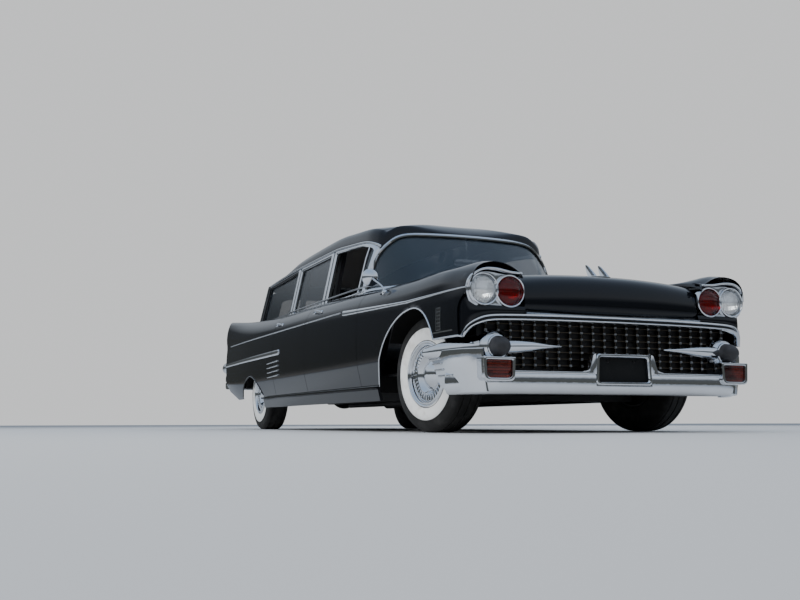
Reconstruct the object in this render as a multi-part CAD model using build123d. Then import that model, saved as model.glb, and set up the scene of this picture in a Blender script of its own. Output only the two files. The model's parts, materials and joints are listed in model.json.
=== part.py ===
"""A long black hearse of the late nineteen-fifties, built piece by piece.

Millimetres. The nose points to -Y, the car's left is +X, the floor is Z = 0.
Lengths along the car are given from the front axle, rearward positive, and
every piece is moved once, as it is written, so that Y = 0 is mid-length.
"""
from build123d import *
import os
from math import cos, radians, sin

# Driving dimensions of the whole car
WHEELBASE = 3962
TRACK = 1549
NOSE_Y = -905                 # front tips of the bumper bullets
TAIL_Y = 5330                 # rearmost face of the rear bumper
MID_Y = (NOSE_Y + TAIL_Y) / 2
GAP = 8                       # shut line round a door or lid
SEAT = 0.3                    # running or seating clearance between bodies

# Wheels and steering
TYRE_R = 358
TYRE_W = 214
CROWN = 1.5                   # rise of the tread at its middle
RIM_R = 205
HUB_HOLE_R = 34
KINGPIN_X = TRACK / 2 - 134.5
REST_STEER = 10               # the front wheels stand turned to the car's left
FRONT_AXLE_Y = 0
REAR_AXLE_Y = WHEELBASE

# Body side
DOOR_FRONT_Y = 870
DOOR_MID_Y = 2118
DOOR_REAR_Y = 3085
BODY_REAR_Y = 5140
SILL_BOTTOM_Z = 208
SILL_TOP_Z = 300
FENDER_FRONT_Y = -745
FENDER_LOW_Z = 540            # lower edge of the fender ahead of the wheel
WALL_T = 58                   # whole thickness of door and side
ARCH_FRONT = (-392, 535)      # front foot, crown and rear foot of the front wheel opening
ARCH_CROWN = (-95, 752)
ARCH_REAR = (455, 470)
ARCH_FOOT = (535, SILL_TOP_Z)
SKIRT_HALF = 420              # half length and top of the low rear wheel opening
SKIRT_TOP_Z = 520
HINGE_X = 1002

# Greenhouse
FRAME_T = 34                  # window frames and pillars
DRIP_X = 725
DRIP_Z = 1488
ROOF_T = 30
GLASS_T = 6
HEADER_Y = 1092               # windscreen header at mid-width
GLASS_FOOT_Z = 1016           # foot of the windscreen
PILLAR_Y = 1186               # rear edge of the upright windscreen pillar

# Hood
COWL_Z = 985
HOOD_FRONT_Y = -812
HOOD_REAR_Y = 560
HOOD_HALF = 655
NOSE_HALF = 592               # half width of the nose between the lamp clusters
HOOD_T = 24
NOSE_BOW = 26                 # how far the nose bows forward in plan
HOOD_CROWN = ((-840, 936, 30), (-592, 942, 30), (300, 982, 14), (HOOD_REAR_Y + 1, COWL_Z + 2, 4))
BAR_TOP_Z = 664               # top of the bright bar over the grille

# Chassis
RAIL_X = 350
RAIL_W = 80
RAIL_Z0 = 232
FLOOR_Z = 372
FLOOR_T = 18
REAR_FLOOR_Z = 560
FLOOR_STEP = (3240, 3480)     # where the floor and the rails climb over the rear axle
RAIL_FRONT_Y = -640
RAIL_REAR_Y = 5180
DECK_Z = 650
FIREWALL_Y = 600


def edge(p, q, sag, lift):
    """One side of an outline: straight, or an arc that bulges to its left."""
    a, b = lift(*p), lift(*q)
    if not sag:
        return Edge.make_line(a, b)
    du, dv = q[0] - p[0], q[1] - p[1]
    size = (du * du + dv * dv) ** 0.5
    mid = ((p[0] + q[0]) / 2 - dv / size * sag, (p[1] + q[1]) / 2 + du / size * sag)
    return Edge.make_three_point_arc(a, lift(*mid), b)


def wire(points, lift):
    """Closed outline from (u, v) or (u, v, sag of the side that starts there)."""
    ends = points[1:] + points[:1]
    sides = [edge(p[:2], q[:2], p[2] if len(p) > 2 else 0, lift) for p, q in zip(points, ends)]
    return Wire(sides)


def side_prism(points, x0, x1):
    """Side view outline of (y, z) points, from x0 to x1."""
    return Solid.extrude(Face(wire(points, lambda y, z: (x0, y, z))), Vector(x1 - x0, 0, 0))


def plan_prism(points, z0, z1):
    """Plan view outline of (x, y) points, from z0 to z1."""
    return Solid.extrude(Face(wire(points, lambda x, y: (x, y, z0))), Vector(0, 0, z1 - z0))


def front_prism(points, y0, y1):
    """Front view outline of (x, z) points, from y0 to y1."""
    return Solid.extrude(Face(wire(points, lambda x, z: (x, y0, z))), Vector(0, y1 - y0, 0))


def block(x0, x1, y0, y1, z0, z1):
    """Box between six planes."""
    return Solid.make_box(x1 - x0, y1 - y0, z1 - z0, Plane((x0, y0, z0)))


def rod(start, end, radius):
    """Round bar between two points."""
    a, b = Vector(*start), Vector(*end)
    return Solid.make_cylinder(radius, (b - a).length, Plane(origin=a, z_dir=b - a))


def turned(profile, start, direction):
    """Body of revolution: (distance along the axis, radius) outline about an axis."""
    axis = Plane(origin=start, z_dir=direction)
    outline = wire(profile, lambda d, r: axis.from_local_coords(Vector(r, 0, d)))
    return Solid.revolve(Face(outline), 360, Axis(start, direction))


def loft_y(sections, ruled=False):
    """Solid through front view outlines, given as {y: points}."""
    wires = [wire(points, lambda x, z, y=y: (x, y, z)) for y, points in sections.items()]
    return Solid.make_loft(wires, ruled)


def mirrored(shape):
    """The same piece on the car's other side."""
    return shape.mirror(Plane.YZ)


def pair(shape):
    """Left and right pieces."""
    return [shape, mirrored(shape)]


def whole(result):
    """A result as one shape: its solid, or a compound where it has several."""
    found = solids_of(result)
    return found[0] if len(found) == 1 else Compound(children=found)


def fuse(first, *others):
    """One solid of pieces that meet."""
    return whole(first.fuse(*others).clean())


def less(shape, *cutters):
    """A shape with others cut out of it."""
    return whole(shape.cut(*cutters))


def common(shape, other):
    """What two shapes share."""
    return whole(shape.intersect(other))


def solids_of(shape):
    """Plain list of the solids in a result."""
    if isinstance(shape, (list, tuple)):
        return [s for one in shape for s in solids_of(one)]
    return list(shape.solids())


def save(name, *shapes):
    """Write one node, moved to the car's own origin."""
    parts = [s.moved(Location((0, -MID_Y, 0))) for s in solids_of(list(shapes))]
    shape = parts[0] if len(parts) == 1 else Compound(children=parts)
    export_step(shape, f"parts/{name}.step")


FENDER_IN_X = HOOD_HALF + 13  # inner edge of the fenders' tops

# Left body side: outer skin at each station. Columns:
# y, foot x, foot z, crease x, crease z, waist x, waist z, crown x, crown z, inner top x, inner top z
SIDE = [
    (FENDER_FRONT_Y, 925, 240, 958, 470, 962, 800, 900, 925, FENDER_IN_X + 4, 930),
    (-380, 928, 225, 976, 462, 976, 800, 902, 955, FENDER_IN_X, 952),
    (DOOR_FRONT_Y - 300, 930, SILL_BOTTOM_Z, 986, 455, 985, 826, 875, 975, FENDER_IN_X, 968),
    (DOOR_FRONT_Y + 300, 930, SILL_BOTTOM_Z, 988, 452, 987, 845, 866, 1000, FENDER_IN_X + 4, 1004),
    (DOOR_MID_Y + 200, 930, SILL_BOTTOM_Z, 988, 450, 987, 860, 864, 1032, 690, 1034),
    (DOOR_REAR_Y + 150, 930, SILL_BOTTOM_Z, 986, 450, 985, 868, 866, 1042, 700, 1044),
    (4250, 926, 228, 978, 452, 976, 876, 888, 1088, 750, 1078),
    (BODY_REAR_Y, 905, 400, 952, 480, 950, 885, 912, 1170, 850, 1150),
]
SIDE_BULGE = 9                # how far the side swells between crease and waist
SHOULDER_BULGE = 22           # and between waist and crown
DOOR_INNER_X = 812            # inner face of the doors' shoulders
SIDE_INNER_X = 780            # inner face of the belt under the side windows


def side_wall():
    """Left wall of the body from the lamps to the tail, before it is cut into panels."""
    sections = {}
    for y, fx, fz, cx, cz, wx, wz, bx, bz, tx, tz in SIDE:
        t = WALL_T
        sections[y] = [
            (fx, fz), (cx, cz, -SIDE_BULGE), (wx, wz, -SHOULDER_BULGE), (bx, bz), (tx, tz),
            (tx, tz - t), (bx - t * 0.7, bz - t), (wx - t, wz - t * 0.4), (cx - t, cz), (fx - t, fz),
        ]
    return loft_y(sections)


# Plan of the greenhouse, left half, from the windscreen's middle to the rear door's middle.
# Columns: x and y at the belt, x and y at the drip rail, bulge of the side that starts here
BELT_Z = 990
PLAN = [
    (0, 640, 0, HEADER_Y, 18),
    (540, 720, 520, HEADER_Y + 60, 50),
    (834, 1170, DRIP_X - 6, 1380, 0),
    (838, DOOR_MID_Y, DRIP_X + 4, DOOR_MID_Y, 0),
    (836, DOOR_REAR_Y + 60, DRIP_X + 2, DOOR_REAR_Y + 60, 0),
    (800, 4330, DRIP_X - 34, 4290, 60),
    (560, 4985, 500, 4735, 0),
    (0, 5000, 0, 4750, 0),
]


def plan_outline(level, inset):
    """Closed plan of the greenhouse at the belt (0) or at the drip rail (1)."""
    left = []
    for bx, by, dx, dy, sag in PLAN:
        x, y = (bx, by) if level == 0 else (dx, dy)
        if x:
            x -= inset
        y += inset if y < 1200 + 100 * level and x < 700 else 0
        y -= inset if y > 4600 else 0
        left.append((x, y, -sag))
    right = []
    for i in range(len(left) - 2, 0, -1):
        x, y, _ = left[i]
        right.append((-x, y, left[i - 1][2]))
    left[-1] = (left[-1][0], left[-1][1], left[-2][2])
    return left + right


def greenhouse(inset=0):
    """Closed form of the windows and pillars from the belt to the drip rail."""
    wires = []
    for level, z in ((0, BELT_Z), (1, DRIP_Z)):
        wires.append(wire(plan_outline(level, inset), lambda x, y, z=z: (x, y, z)))
    return Solid.make_loft(wires, True)


# Roof sections: y, half width at the rail, shoulder half width, shoulder z, crown z
ROOF = [
    (HEADER_Y - 20, 712, 570, 1496, 1504),
    (1400, 730, 600, 1562, 1612),
    (1900, 740, 612, 1600, 1702),
    (2700, 740, 616, 1612, 1725),
    (3600, 738, 610, 1572, 1702),
    (4300, 720, 590, 1530, 1624),
    (4760, 690, 540, 1510, 1540),
]


def roof_form(inset=0):
    """Roof as a closed solid down to the drip rail."""
    sections = {}
    for y, rx, sx, sz, cz in ROOF:
        rx, sx, sz, cz = rx - inset, sx - inset / 2, sz - inset, cz - inset
        foot = DRIP_Z - (40 if inset else 0)
        lip = DRIP_Z + 8 - inset / 2
        rise = max(cz - sz, 2)
        sag = (sx * sx + rise * rise) ** 0.5 * rise / sx / 4
        sections[y] = [
            (rx, foot), (rx, lip, -14), (sx, sz, -sag), (0, cz, -sag), (-sx, sz, -14), (-rx, lip),
            (-rx, foot),
        ]
    return loft_y(sections)


# Body panels

def wheel_openings(x0, x1):
    """Cutters for the front and rear wheel openings of one side."""
    (fy, fz), (cy, cz), (ry, rz), (ty, tz) = ARCH_FRONT, ARCH_CROWN, ARCH_REAR, ARCH_FOOT
    front = side_prism([
        (FENDER_FRONT_Y - 60, 150), (FENDER_FRONT_Y - 60, FENDER_LOW_Z), (fy, fz, 62), (cy, cz, 75),
        (ry, rz), (ty, tz), (ty + 25, tz - 30), (ty + 25, 150),
    ], x0, x1)
    y0, y1 = REAR_AXLE_Y - SKIRT_HALF, REAR_AXLE_Y + SKIRT_HALF
    rear = side_prism([
        (y0 - 20, 150), (y0 - 20, SILL_TOP_Z - 30), (y0, SILL_TOP_Z + 30, 42),
        (REAR_AXLE_Y, SKIRT_TOP_Z, 42), (y1, SILL_TOP_Z + 30), (y1 + 20, SILL_TOP_Z - 30), (y1 + 20, 150),
    ], x0, x1)
    return front, rear


def panel(form, outline, x0=560, x1=1100):
    """Part of a form inside a side view outline."""
    return common(form, side_prism(outline, x0, x1))


# Side windows: y and z of their corners
FRONT_WINDOW = [(1222, 1034), (2036, 1034), (2036, 1448), (1744, 1432), (1456, 1408), (1310, 1386),
                (1250, 1366), (1222, 1346)]
REAR_WINDOW = [(2192, 1056), (3012, 1056), (3012, 1448), (2192, 1448)]
QUARTER_WINDOW = [(3158, 1080), (4296, 1080), (4276, 1448), (3158, 1448)]

# Upper edge of the front door's window frame, from the pillar rearward: y and z
FRAME_TOP = [(1202, 1376), (1240, 1398), (1310, 1416), (1456, 1437), (1744, 1459), (1995, 1478)]
BROW_CORNER_END_Y = 1900      # where the roof's low front corner runs out


def opening(window, grow=0):
    """Outline of a side window, larger by grow on each side."""
    y0, y1 = min(y for y, _ in window), max(y for y, _ in window)
    z0, z1 = min(z for _, z in window), max(z for _, z in window)
    mid_y, mid_z = (y0 + y1) / 2, (z0 + z1) / 2
    wide, tall = 1 + 2 * grow / (y1 - y0), 1 + 2 * grow / (z1 - z0)
    return [(mid_y + (y - mid_y) * wide, mid_z + (z - mid_z) * tall) for y, z in window]


COWL_CORNER_X = 692           # the fenders' inner edge beside the cowl
BROW_Y = -815                 # front lip of the brows over the lamps


def front_fenders(wall):
    """Front fenders with the wheel openings cut and their fronts closed behind the lamps."""
    arch, _ = wheel_openings(600, 1100)
    front, rear = FENDER_FRONT_Y - 10, DOOR_FRONT_Y - GAP
    skin = panel(wall, [(front, 100), (rear, 100), (rear, 1100), (front, 1100)], 600)
    skin = less(skin, arch, block(500, 1100, ARCH_FOOT[0], DOOR_FRONT_Y, 100, SILL_TOP_Z),
                block(500, COWL_CORNER_X, DOOR_FRONT_Y - 90, DOOR_FRONT_Y, 850, 1100))
    face = front_prism([
        (604, 655), (940, 600), (952, 640), (959, 800, -20), (898, 922), (690, 926), (604, 880),
    ], FENDER_FRONT_Y, FENDER_FRONT_Y + 26)
    brow = front_prism([
        (612, 868), (626, 884, 12), (783, 934, 12), (905, 916, 10), (958, 835), (948, 832), (897, 896, -12),
        (783, 914, -12), (640, 872),
    ], BROW_Y, FENDER_FRONT_Y)
    rake = side_prism([(BROW_Y - 1, 800), (BROW_Y - 1, 960), (BROW_Y + 40, 960, -10), (BROW_Y, 800)],
                      560, 1100)
    brow = less(brow, rake)
    return pair(fuse(skin, face, brow))


def sills(wall):
    """Rocker panels under the doors."""
    foot = panel(wall, [
        (ARCH_FOOT[0] + 30, 100), (REAR_AXLE_Y - SKIRT_HALF - 24, 100),
        (REAR_AXLE_Y - SKIRT_HALF - 24, SILL_TOP_Z), (ARCH_FOOT[0] + 30, SILL_TOP_Z),
    ])
    return pair(foot)


def swing_relief(front, rear):
    """Cutter that slants a door's rear edge, so that its inner corner swings clear of what stands behind."""
    length = rear - front
    edge_line = [(x, rear - 1 - (HINGE_X - x) ** 2 / (2 * length))
                 for x in (HINGE_X, 940, 880, 820, 760, 700)]
    return plan_prism(edge_line + [(700, rear + 40), (HINGE_X, rear + 40)], 250, BELT_Z + 75)


def door(wall, house, front, rear, window, at_pillar):
    """One door on the left: lower panel and window frame in one piece."""
    foot = SILL_TOP_Z + GAP
    low = panel(wall, [(front, foot), (rear, foot), (rear, 1200), (front, 1200)], DOOR_INNER_X)
    top = DRIP_Z - GAP
    lead = FRAME_TOP if at_pillar else [(front, top)]
    lead_y = lead[0][0]
    frame = panel(house, [(lead_y, 900), (rear - GAP, 900), (rear - GAP, top), *reversed(lead)])
    inner = panel(wall, [(lead_y, 900), (rear, 900), (rear, 1200), (lead_y, 1200)], SIDE_INNER_X,
                  DOOR_INNER_X + 1)
    shape = less(fuse(low, inner, frame), side_prism(opening(window), 560, 1100))
    return less(shape, swing_relief(front, rear))


VENT_BAR = ((1305, 1042), (1289, 1380))   # foot and top of the bar behind the front door's vent window
VENT_BAR_W = 14


def vent_line(z, behind=0):
    """Middle of the vent window's bar at a height, plus a distance behind it."""
    (y0, z0), (y1, z1) = VENT_BAR
    return y0 + (y1 - y0) * (z - z0) / (z1 - z0) + behind


def vent_zone(behind=0):
    """Side view outline of everything ahead of a line along the vent window's bar."""
    low, high = 1000, DRIP_Z
    return [(1000, low), (vent_line(low, behind), low), (vent_line(high, behind), high), (1000, high)]


def vent_bar(house, pane_out):
    """Upright bar between the vent window and the front door's window, outside the pane."""
    band = common(less(house, pane_out), side_prism(opening(FRONT_WINDOW, 2), 560, 1100))
    bar = less(side_prism(vent_zone(VENT_BAR_W), 560, 1100), side_prism(vent_zone(), 550, 1110))
    return common(band, bar)


def glass(window, house_out, house_in, inset=0.3):
    """Pane for a side window, just inside its opening."""
    return common(less(house_out, house_in), side_prism(opening(window, -inset), 560, 1100))


def rear_quarters(wall, house):
    """Rear body sides with fins, wheel openings and long quarter windows."""
    _, arch = wheel_openings(600, 1100)
    y0 = DOOR_REAR_Y + GAP / 2
    end = BODY_REAR_Y + 5
    low = panel(wall, [(y0, SILL_TOP_Z), (end, SILL_TOP_Z), (end, 1300), (y0, 1300)], SIDE_INNER_X)
    low = less(low, arch)
    upper = common(house, block(480, 1100, y0, 5200, 1000, DRIP_Z))
    upper = less(upper, side_prism(opening(QUARTER_WINDOW), 560, 1100),
                 block(400, TAIL_DOOR_HALF + JAMB_GAP, 4400, 5200, 900, 1600))
    jamb_x = TAIL_DOOR_HALF + JAMB_GAP
    shelf = plan_prism([(SIDE_INNER_X - 60, 4250), (SIDE_INNER_X + 20, 4250), (870, BODY_REAR_Y),
                        (jamb_x, BODY_REAR_Y), (jamb_x, 4930)], SHELF_Z - 12, SHELF_Z)
    return pair(fuse(low, upper, shelf))


SHELF_Z = 1030                # deck beside the fins
TAIL_DOOR_HALF = 560
JAMB_GAP = 12                 # round the loading door, whose upper corner swings wide
TAIL_DOOR_Z0 = 612
TAIL_PROFILE = [(5098, TAIL_DOOR_Z0), (5112, 780), (5080, 960), (4768, DRIP_Z - GAP)]
TAIL_DOOR_T = 60
TAIL_WINDOW = (1060, 1420)


def tail_panels(wall):
    """Fixed rear end around the loading door: corners, and the sill under it."""
    lower = block(-850, 850, BODY_REAR_Y - 60, BODY_REAR_Y - 25, 520, TAIL_DOOR_Z0 - GAP)
    jamb_x = TAIL_DOOR_HALF + JAMB_GAP
    corner = side_prism([(BODY_REAR_Y - 60, 580), (BODY_REAR_Y - 25, 580), (BODY_REAR_Y - 25, 820),
                         (BODY_REAR_Y - 70, 1010), (BODY_REAR_Y - 105, 1010), (BODY_REAR_Y - 60, 820)], jamb_x, 850)
    hinges = [block(TAIL_DOOR_HALF + SEAT, jamb_x + 30, BODY_REAR_Y - 55, BODY_REAR_Y - 30, z, z + 60)
              for z in (640, 750)]
    return fuse(lower, corner, mirrored(corner), *hinges)


def loading_door():
    """Rear door, hinged at the car's left."""
    inner = [(y - TAIL_DOOR_T, z) for y, z in reversed(TAIL_PROFILE)]
    slab = side_prism(TAIL_PROFILE + inner, -TAIL_DOOR_HALF, TAIL_DOOR_HALF)
    low, high = TAIL_WINDOW
    hole = front_prism([(-470, low), (470, low), (430, high), (-430, high)], 4500, 5300)
    return less(slab, hole)


def loading_glass():
    """Pane of the rear door."""
    low, high = TAIL_WINDOW
    slope = (TAIL_PROFILE[3][0] - TAIL_PROFILE[2][0]) / (TAIL_PROFILE[3][1] - TAIL_PROFILE[2][1])
    y_low = TAIL_PROFILE[2][0] + slope * (low - TAIL_PROFILE[2][1]) - 25
    y_high = TAIL_PROFILE[2][0] + slope * (high - TAIL_PROFILE[2][1]) - 25
    slab = side_prism([(y_low, low + 1), (y_low + GLASS_T, low + 1), (y_high + GLASS_T, high - 1),
                       (y_high, high - 1)], -469, 469)
    return common(slab, front_prism([(-469, low), (469, low), (429, high), (-429, high)], 4500, 5300))


def roof(house):
    """Roof skin with its drip rail edge and the low corners beside the windscreen."""
    cap = plan_prism(plan_outline(1, -6), DRIP_Z, DRIP_Z + 400)
    skin = common(less(roof_form(), roof_form(ROOF_T)), cap)
    edge_line = [(y, z + GAP) for y, z in FRAME_TOP if y < BROW_CORNER_END_Y]
    corner = panel(house, [(1100, DRIP_Z + 1), (1100, edge_line[0][1]), *edge_line,
                           (BROW_CORNER_END_Y, DRIP_Z - 8), (BROW_CORNER_END_Y, DRIP_Z + 1)], 300)
    corner = less(corner, windscreen_zone(-SEAT))
    return fuse(skin, corner, mirrored(corner))


HINGE_HEIGHTS = (480, 720)    # lower and upper door hinges
HINGE_SIZE = (26, 70)         # length along the car and height


def hinge_mounts(wall, front, z_list=HINGE_HEIGHTS):
    """Blocks on a post that reach to the inside of the door's leading edge."""
    length, height = HINGE_SIZE
    mounts = []
    for z in z_list:
        y0 = front + GAP / 2
        skin = common(wall, block(800, 1100, y0, y0 + length, z, z + height))
        mounts.append(block(840, skin.bounding_box().min.X - SEAT, y0, y0 + length, z, z + height))
    return mounts


def body_posts(wall):
    """Posts inside the door edges, from the floor to the cowl or the roof, with the hinge mounts."""
    posts = []
    foot, knee, belt = FLOOR_Z + FLOOR_T, 700, 960
    low = [(800, foot), (868, foot), (868, knee + 90), (768, belt)]
    short = front_prism([*low, (700, belt), (730, knee)], DOOR_FRONT_Y + GAP / 2, DOOR_FRONT_Y + 75)
    tall = [*low, (DRIP_X - 62, DRIP_Z), (DRIP_X - 92, DRIP_Z), (730, belt), (800, knee)]
    posts += pair(fuse(short, *hinge_mounts(wall, DOOR_FRONT_Y)))
    mid = front_prism(tall, DOOR_MID_Y - 35, DOOR_MID_Y + 35)
    posts += pair(fuse(mid, *hinge_mounts(wall, DOOR_MID_Y + GAP / 2)))
    posts += pair(front_prism(tall, DOOR_REAR_Y - 35, DOOR_REAR_Y + 35))
    return posts


# Windscreen: front view of its left edge, x and z, from the foot to the header
SURROUND_W = 30
SCREEN_EDGE = [(829, GLASS_FOOT_Z), (768, 1196), (743, 1260), (707, 1330), (661, 1394), (600, 1446),
               (534, 1472), (440, DRIP_Z)]


def windscreen_zone(shrink=0):
    """Block that the windscreen fills between the cowl and the roof, smaller by shrink."""
    wide, tall = 1 - shrink / SCREEN_EDGE[0][0], 1 - 2 * shrink / (DRIP_Z - GLASS_FOOT_Z)
    mid_z = (DRIP_Z + GLASS_FOOT_Z) / 2
    half = [(x * wide, mid_z + (z - mid_z) * tall) for x, z in SCREEN_EDGE]
    return front_prism(half + [(-x, z) for x, z in reversed(half)], 500, PILLAR_Y - shrink * 0.6)


def windscreen(outer, inner):
    """Wrap-around pane."""
    return common(less(outer, inner), windscreen_zone(SURROUND_W))


def windscreen_surround(house):
    """Bright frame around the windscreen, with the pillars."""
    return less(common(house, windscreen_zone(0.5)), windscreen_zone(SURROUND_W - 0.3))


def cowl():
    """Firewall and the top panel between the hood and the windscreen."""
    top = plan_prism([
        (-652, HOOD_REAR_Y + GAP), (652, HOOD_REAR_Y + GAP), (652, 900), (770, 1190), (770, 1215), (-770, 1215),
        (-770, 1190), (-652, 900),
    ], COWL_Z - 18, COWL_Z)
    pedestal = less(plan_prism(plan_outline(0, 1), COWL_Z, GLASS_FOOT_Z),
                    plan_prism(plan_outline(0, FRAME_T), 0, 2000))
    pedestal = common(pedestal, block(-781, 781, 500, 1192, 0, 2000))
    wall = block(-640, 640, FIREWALL_Y, FIREWALL_Y + 14, FLOOR_Z, COWL_Z - 18)
    hinges = [block(x - 30, x + 30, HOOD_REAR_Y + SEAT, HOOD_REAR_Y + 40, COWL_Z - 20, COWL_Z - 8)
              for x in (-520, 520)]
    return fuse(top, pedestal, wall, *hinges)


def hood():
    """Broad flat hood that rolls down to the bar over the grille."""
    def profile(t, low):
        return [
            (HOOD_FRONT_Y + 24 + t, low), (HOOD_FRONT_Y + t, 720, 6), (HOOD_FRONT_Y + 62 + t, 862 - t, 34),
            (HOOD_FRONT_Y + 220, 934 - t, 8), (HOOD_REAR_Y, COWL_Z - t), (HOOD_REAR_Y, low),
        ]
    outer = side_prism(profile(0, BAR_TOP_Z + GAP), -HOOD_HALF, HOOD_HALF)
    inner = side_prism(profile(HOOD_T, BAR_TOP_Z - GAP), -HOOD_HALF + HOOD_T, HOOD_HALF - HOOD_T)
    shell = less(outer, inner, block(-700, 700, FENDER_FRONT_Y + 33, 700, 600, 875))
    nose = [block(*sorted((s * NOSE_HALF, s * (HOOD_HALF + 49))), -900, FENDER_FRONT_Y + 34, 600, 1000)
            for s in (-1, 1)]
    edge = HOOD_HALF + 1
    crown = loft_y({y: [(-edge, 500), (edge, 500), (edge, z - drop, -drop), (-edge, z - drop)]
                    for y, z, drop in HOOD_CROWN})
    bow_y = HOOD_FRONT_Y + NOSE_BOW
    rear = HOOD_REAR_Y + 1
    front = plan_prism([(-edge, rear), (-edge, bow_y, -NOSE_BOW), (edge, bow_y), (edge, rear)],
                       500, 1100)
    return common(common(less(shell, *nose), crown), front)


def hood_ornament():
    """Pair of small raked fins on the hood."""
    base = side_prism([(-700, 928), (-560, 938), (-560, 946), (-700, 932)], -75, 75)
    fins = [side_prism([(-690, 930), (-585, 940), (-570, 1000), (-592, 1000)], x - 5, x + 5) for x in (-45, 45)]
    return fuse(base, *fins)


# Chassis

def chassis_frame():
    """Two rails that kick up over the rear axle, with cross members."""
    profile = [
        (RAIL_FRONT_Y, RAIL_Z0), (3300, RAIL_Z0), (3560, 440), (4360, 440), (4560, 400), (RAIL_REAR_Y, 400),
        (RAIL_REAR_Y, 500), (4800, REAR_FLOOR_Z), (FLOOR_STEP[1], REAR_FLOOR_Z), (FLOOR_STEP[0], FLOOR_Z),
        (560, FLOOR_Z), (420, RAIL_Z0 + 110), (RAIL_FRONT_Y, RAIL_Z0 + 110),
    ]
    rails = [side_prism(profile, s * RAIL_X - RAIL_W / 2, s * RAIL_X + RAIL_W / 2) for s in (-1, 1)]
    cross = [block(-RAIL_X, RAIL_X, y, y + 90, z, z + 80) for y, z in
             ((-620, 240), (700, 250), (1500, 250), (2300, 250), (3080, 250), (4700, 420), (5060, 420))]
    outriggers = [block(-872, 872, y, y + 60, SILL_BOTTOM_Z + 62, FLOOR_Z)
                  for y in (900, DOOR_MID_Y - 30, DOOR_REAR_Y - 60)]
    return fuse(*rails, *cross, *outriggers)


def floor_pan():
    """Cab floor, raised rear floor and wheel houses."""
    z, t, up = FLOOR_Z, FLOOR_T, REAR_FLOOR_Z
    low, high = FLOOR_STEP
    plate = side_prism([
        (FIREWALL_Y + 14, z), (low, z), (high, up), (BODY_REAR_Y - 60, up), (BODY_REAR_Y - 60, up + t),
        (high - 8, up + t), (low - 8, z + t), (FIREWALL_Y + 14, z + t),
    ], -RAIL_X - 280, RAIL_X + 280)
    wings = [block(s * 750 - 121, s * 750 + 121, 900, low - 20, z, z + t) for s in (-1, 1)]
    houses = []
    for s in (-1, 1):
        x0, x1 = sorted((s * (RAIL_X + 278), s * 870))
        lid = block(x0, x1, 3520, 4404, 756, 768)
        wall = block(*sorted((s * (RAIL_X + 268), s * (RAIL_X + 280))), 3520, 4404, up, 768)
        houses += [lid, wall]
    return fuse(plate, *wings, *houses)


PLATE_Z = DECK_Z + 26          # top of the flat rest plate between the rollers
PLATE_X = 150


def load_deck():
    """Raised deck of the load space with its rows of rollers."""
    top = block(-560, 560, 2250, 4700, DECK_Z - 20, DECK_Z)
    skirts = [block(s * 540 - 12, s * 540 + 12, 2250, FLOOR_STEP[0] - 30, FLOOR_Z + FLOOR_T, DECK_Z)
              for s in (-1, 1)]
    legs = [block(s * 540 - 12, s * 540 + 12, 3490, 4700, REAR_FLOOR_Z + FLOOR_T, DECK_Z) for s in (-1, 1)]
    front = block(-560, 560, 2250, 2270, FLOOR_Z + FLOOR_T, DECK_Z)
    rollers = [rod((x - 110, y, DECK_Z + 8), (x + 110, y, DECK_Z + 8), 16)
               for x in (-330, 330) for y in range(2500, 4651, 430)]
    plate = block(-PLATE_X, PLATE_X, 2400, 4600, DECK_Z - 1, PLATE_Z)
    return fuse(top, *skirts, *legs, front, *rollers, plate)


def front_suspension():
    """Cross member with the arms that carry the kingpins."""
    z = TYRE_R
    beam = block(-KINGPIN_X + 60, KINGPIN_X - 60, -55, 55, RAIL_Z0 - 34, RAIL_Z0)
    pads = []
    for s in (-1, 1):
        x = s * KINGPIN_X
        pads.append(rod((x, 0, RAIL_Z0 - 34), (x, 0, RAIL_Z0 - SEAT), 30))
        pads.append(block(*sorted((x, x - s * 90)), -30, 30, RAIL_Z0 - 34, RAIL_Z0 - SEAT))
        pads.append(rod((x, 0, KNUCKLE_TOP_Z + SEAT), (x, 0, KNUCKLE_TOP_Z + 24), 28))
        pads.append(block(*sorted((x, s * (RAIL_X + 20))), -30, 30, KNUCKLE_TOP_Z + SEAT, KNUCKLE_TOP_Z + 24))
        pads.append(block(s * RAIL_X - 30, s * RAIL_X + 30, -40, 40, RAIL_Z0 + 110, KNUCKLE_TOP_Z + 24))
    return fuse(beam, *pads)


KNUCKLE_TOP_Z = TYRE_R + 130
KNUCKLE_R = 26
SPINDLE_R = HUB_HOLE_R - SEAT
HUB_FACE = 52                 # from the wheel's mid plane in to the hub's inner face


def steered(shape):
    """Turn a front left piece to where the wheels stand."""
    return shape.rotate(Axis((KINGPIN_X, FRONT_AXLE_Y, 0), (0, 0, 1)), REST_STEER)


def knuckle():
    """Left front knuckle: kingpin barrel, drum backing and spindle."""
    x, z = KINGPIN_X, TYRE_R
    hub_x = TRACK / 2 - HUB_FACE
    pin = rod((x, 0, RAIL_Z0), (x, 0, KNUCKLE_TOP_Z), KNUCKLE_R)
    plate = rod((x + 20, 0, z), (hub_x - SEAT, 0, z), 120)
    spindle = rod((x, 0, z), (TRACK / 2 - 4, 0, z), SPINDLE_R)
    arm = block(x - 14, x + 14, 0, 150, 262, 284)
    return fuse(pin, plate, spindle, arm)


def tyre():
    """Tyre about the X axis at the origin."""
    w = TYRE_W / 2
    shoulder = TYRE_R - CROWN
    profile = [
        (-w * 0.78, RIM_R - 12, 6), (-w, 262, 10), (-w * 0.88, TYRE_R - 20, 6), (-w * 0.66, shoulder, CROWN),
        (w * 0.66, shoulder, 6), (w * 0.88, TYRE_R - 20, 10), (w, 262, 6), (w * 0.78, RIM_R - 12),
    ]
    return turned(profile, (0, 0, 0), (1, 0, 0))


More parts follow.
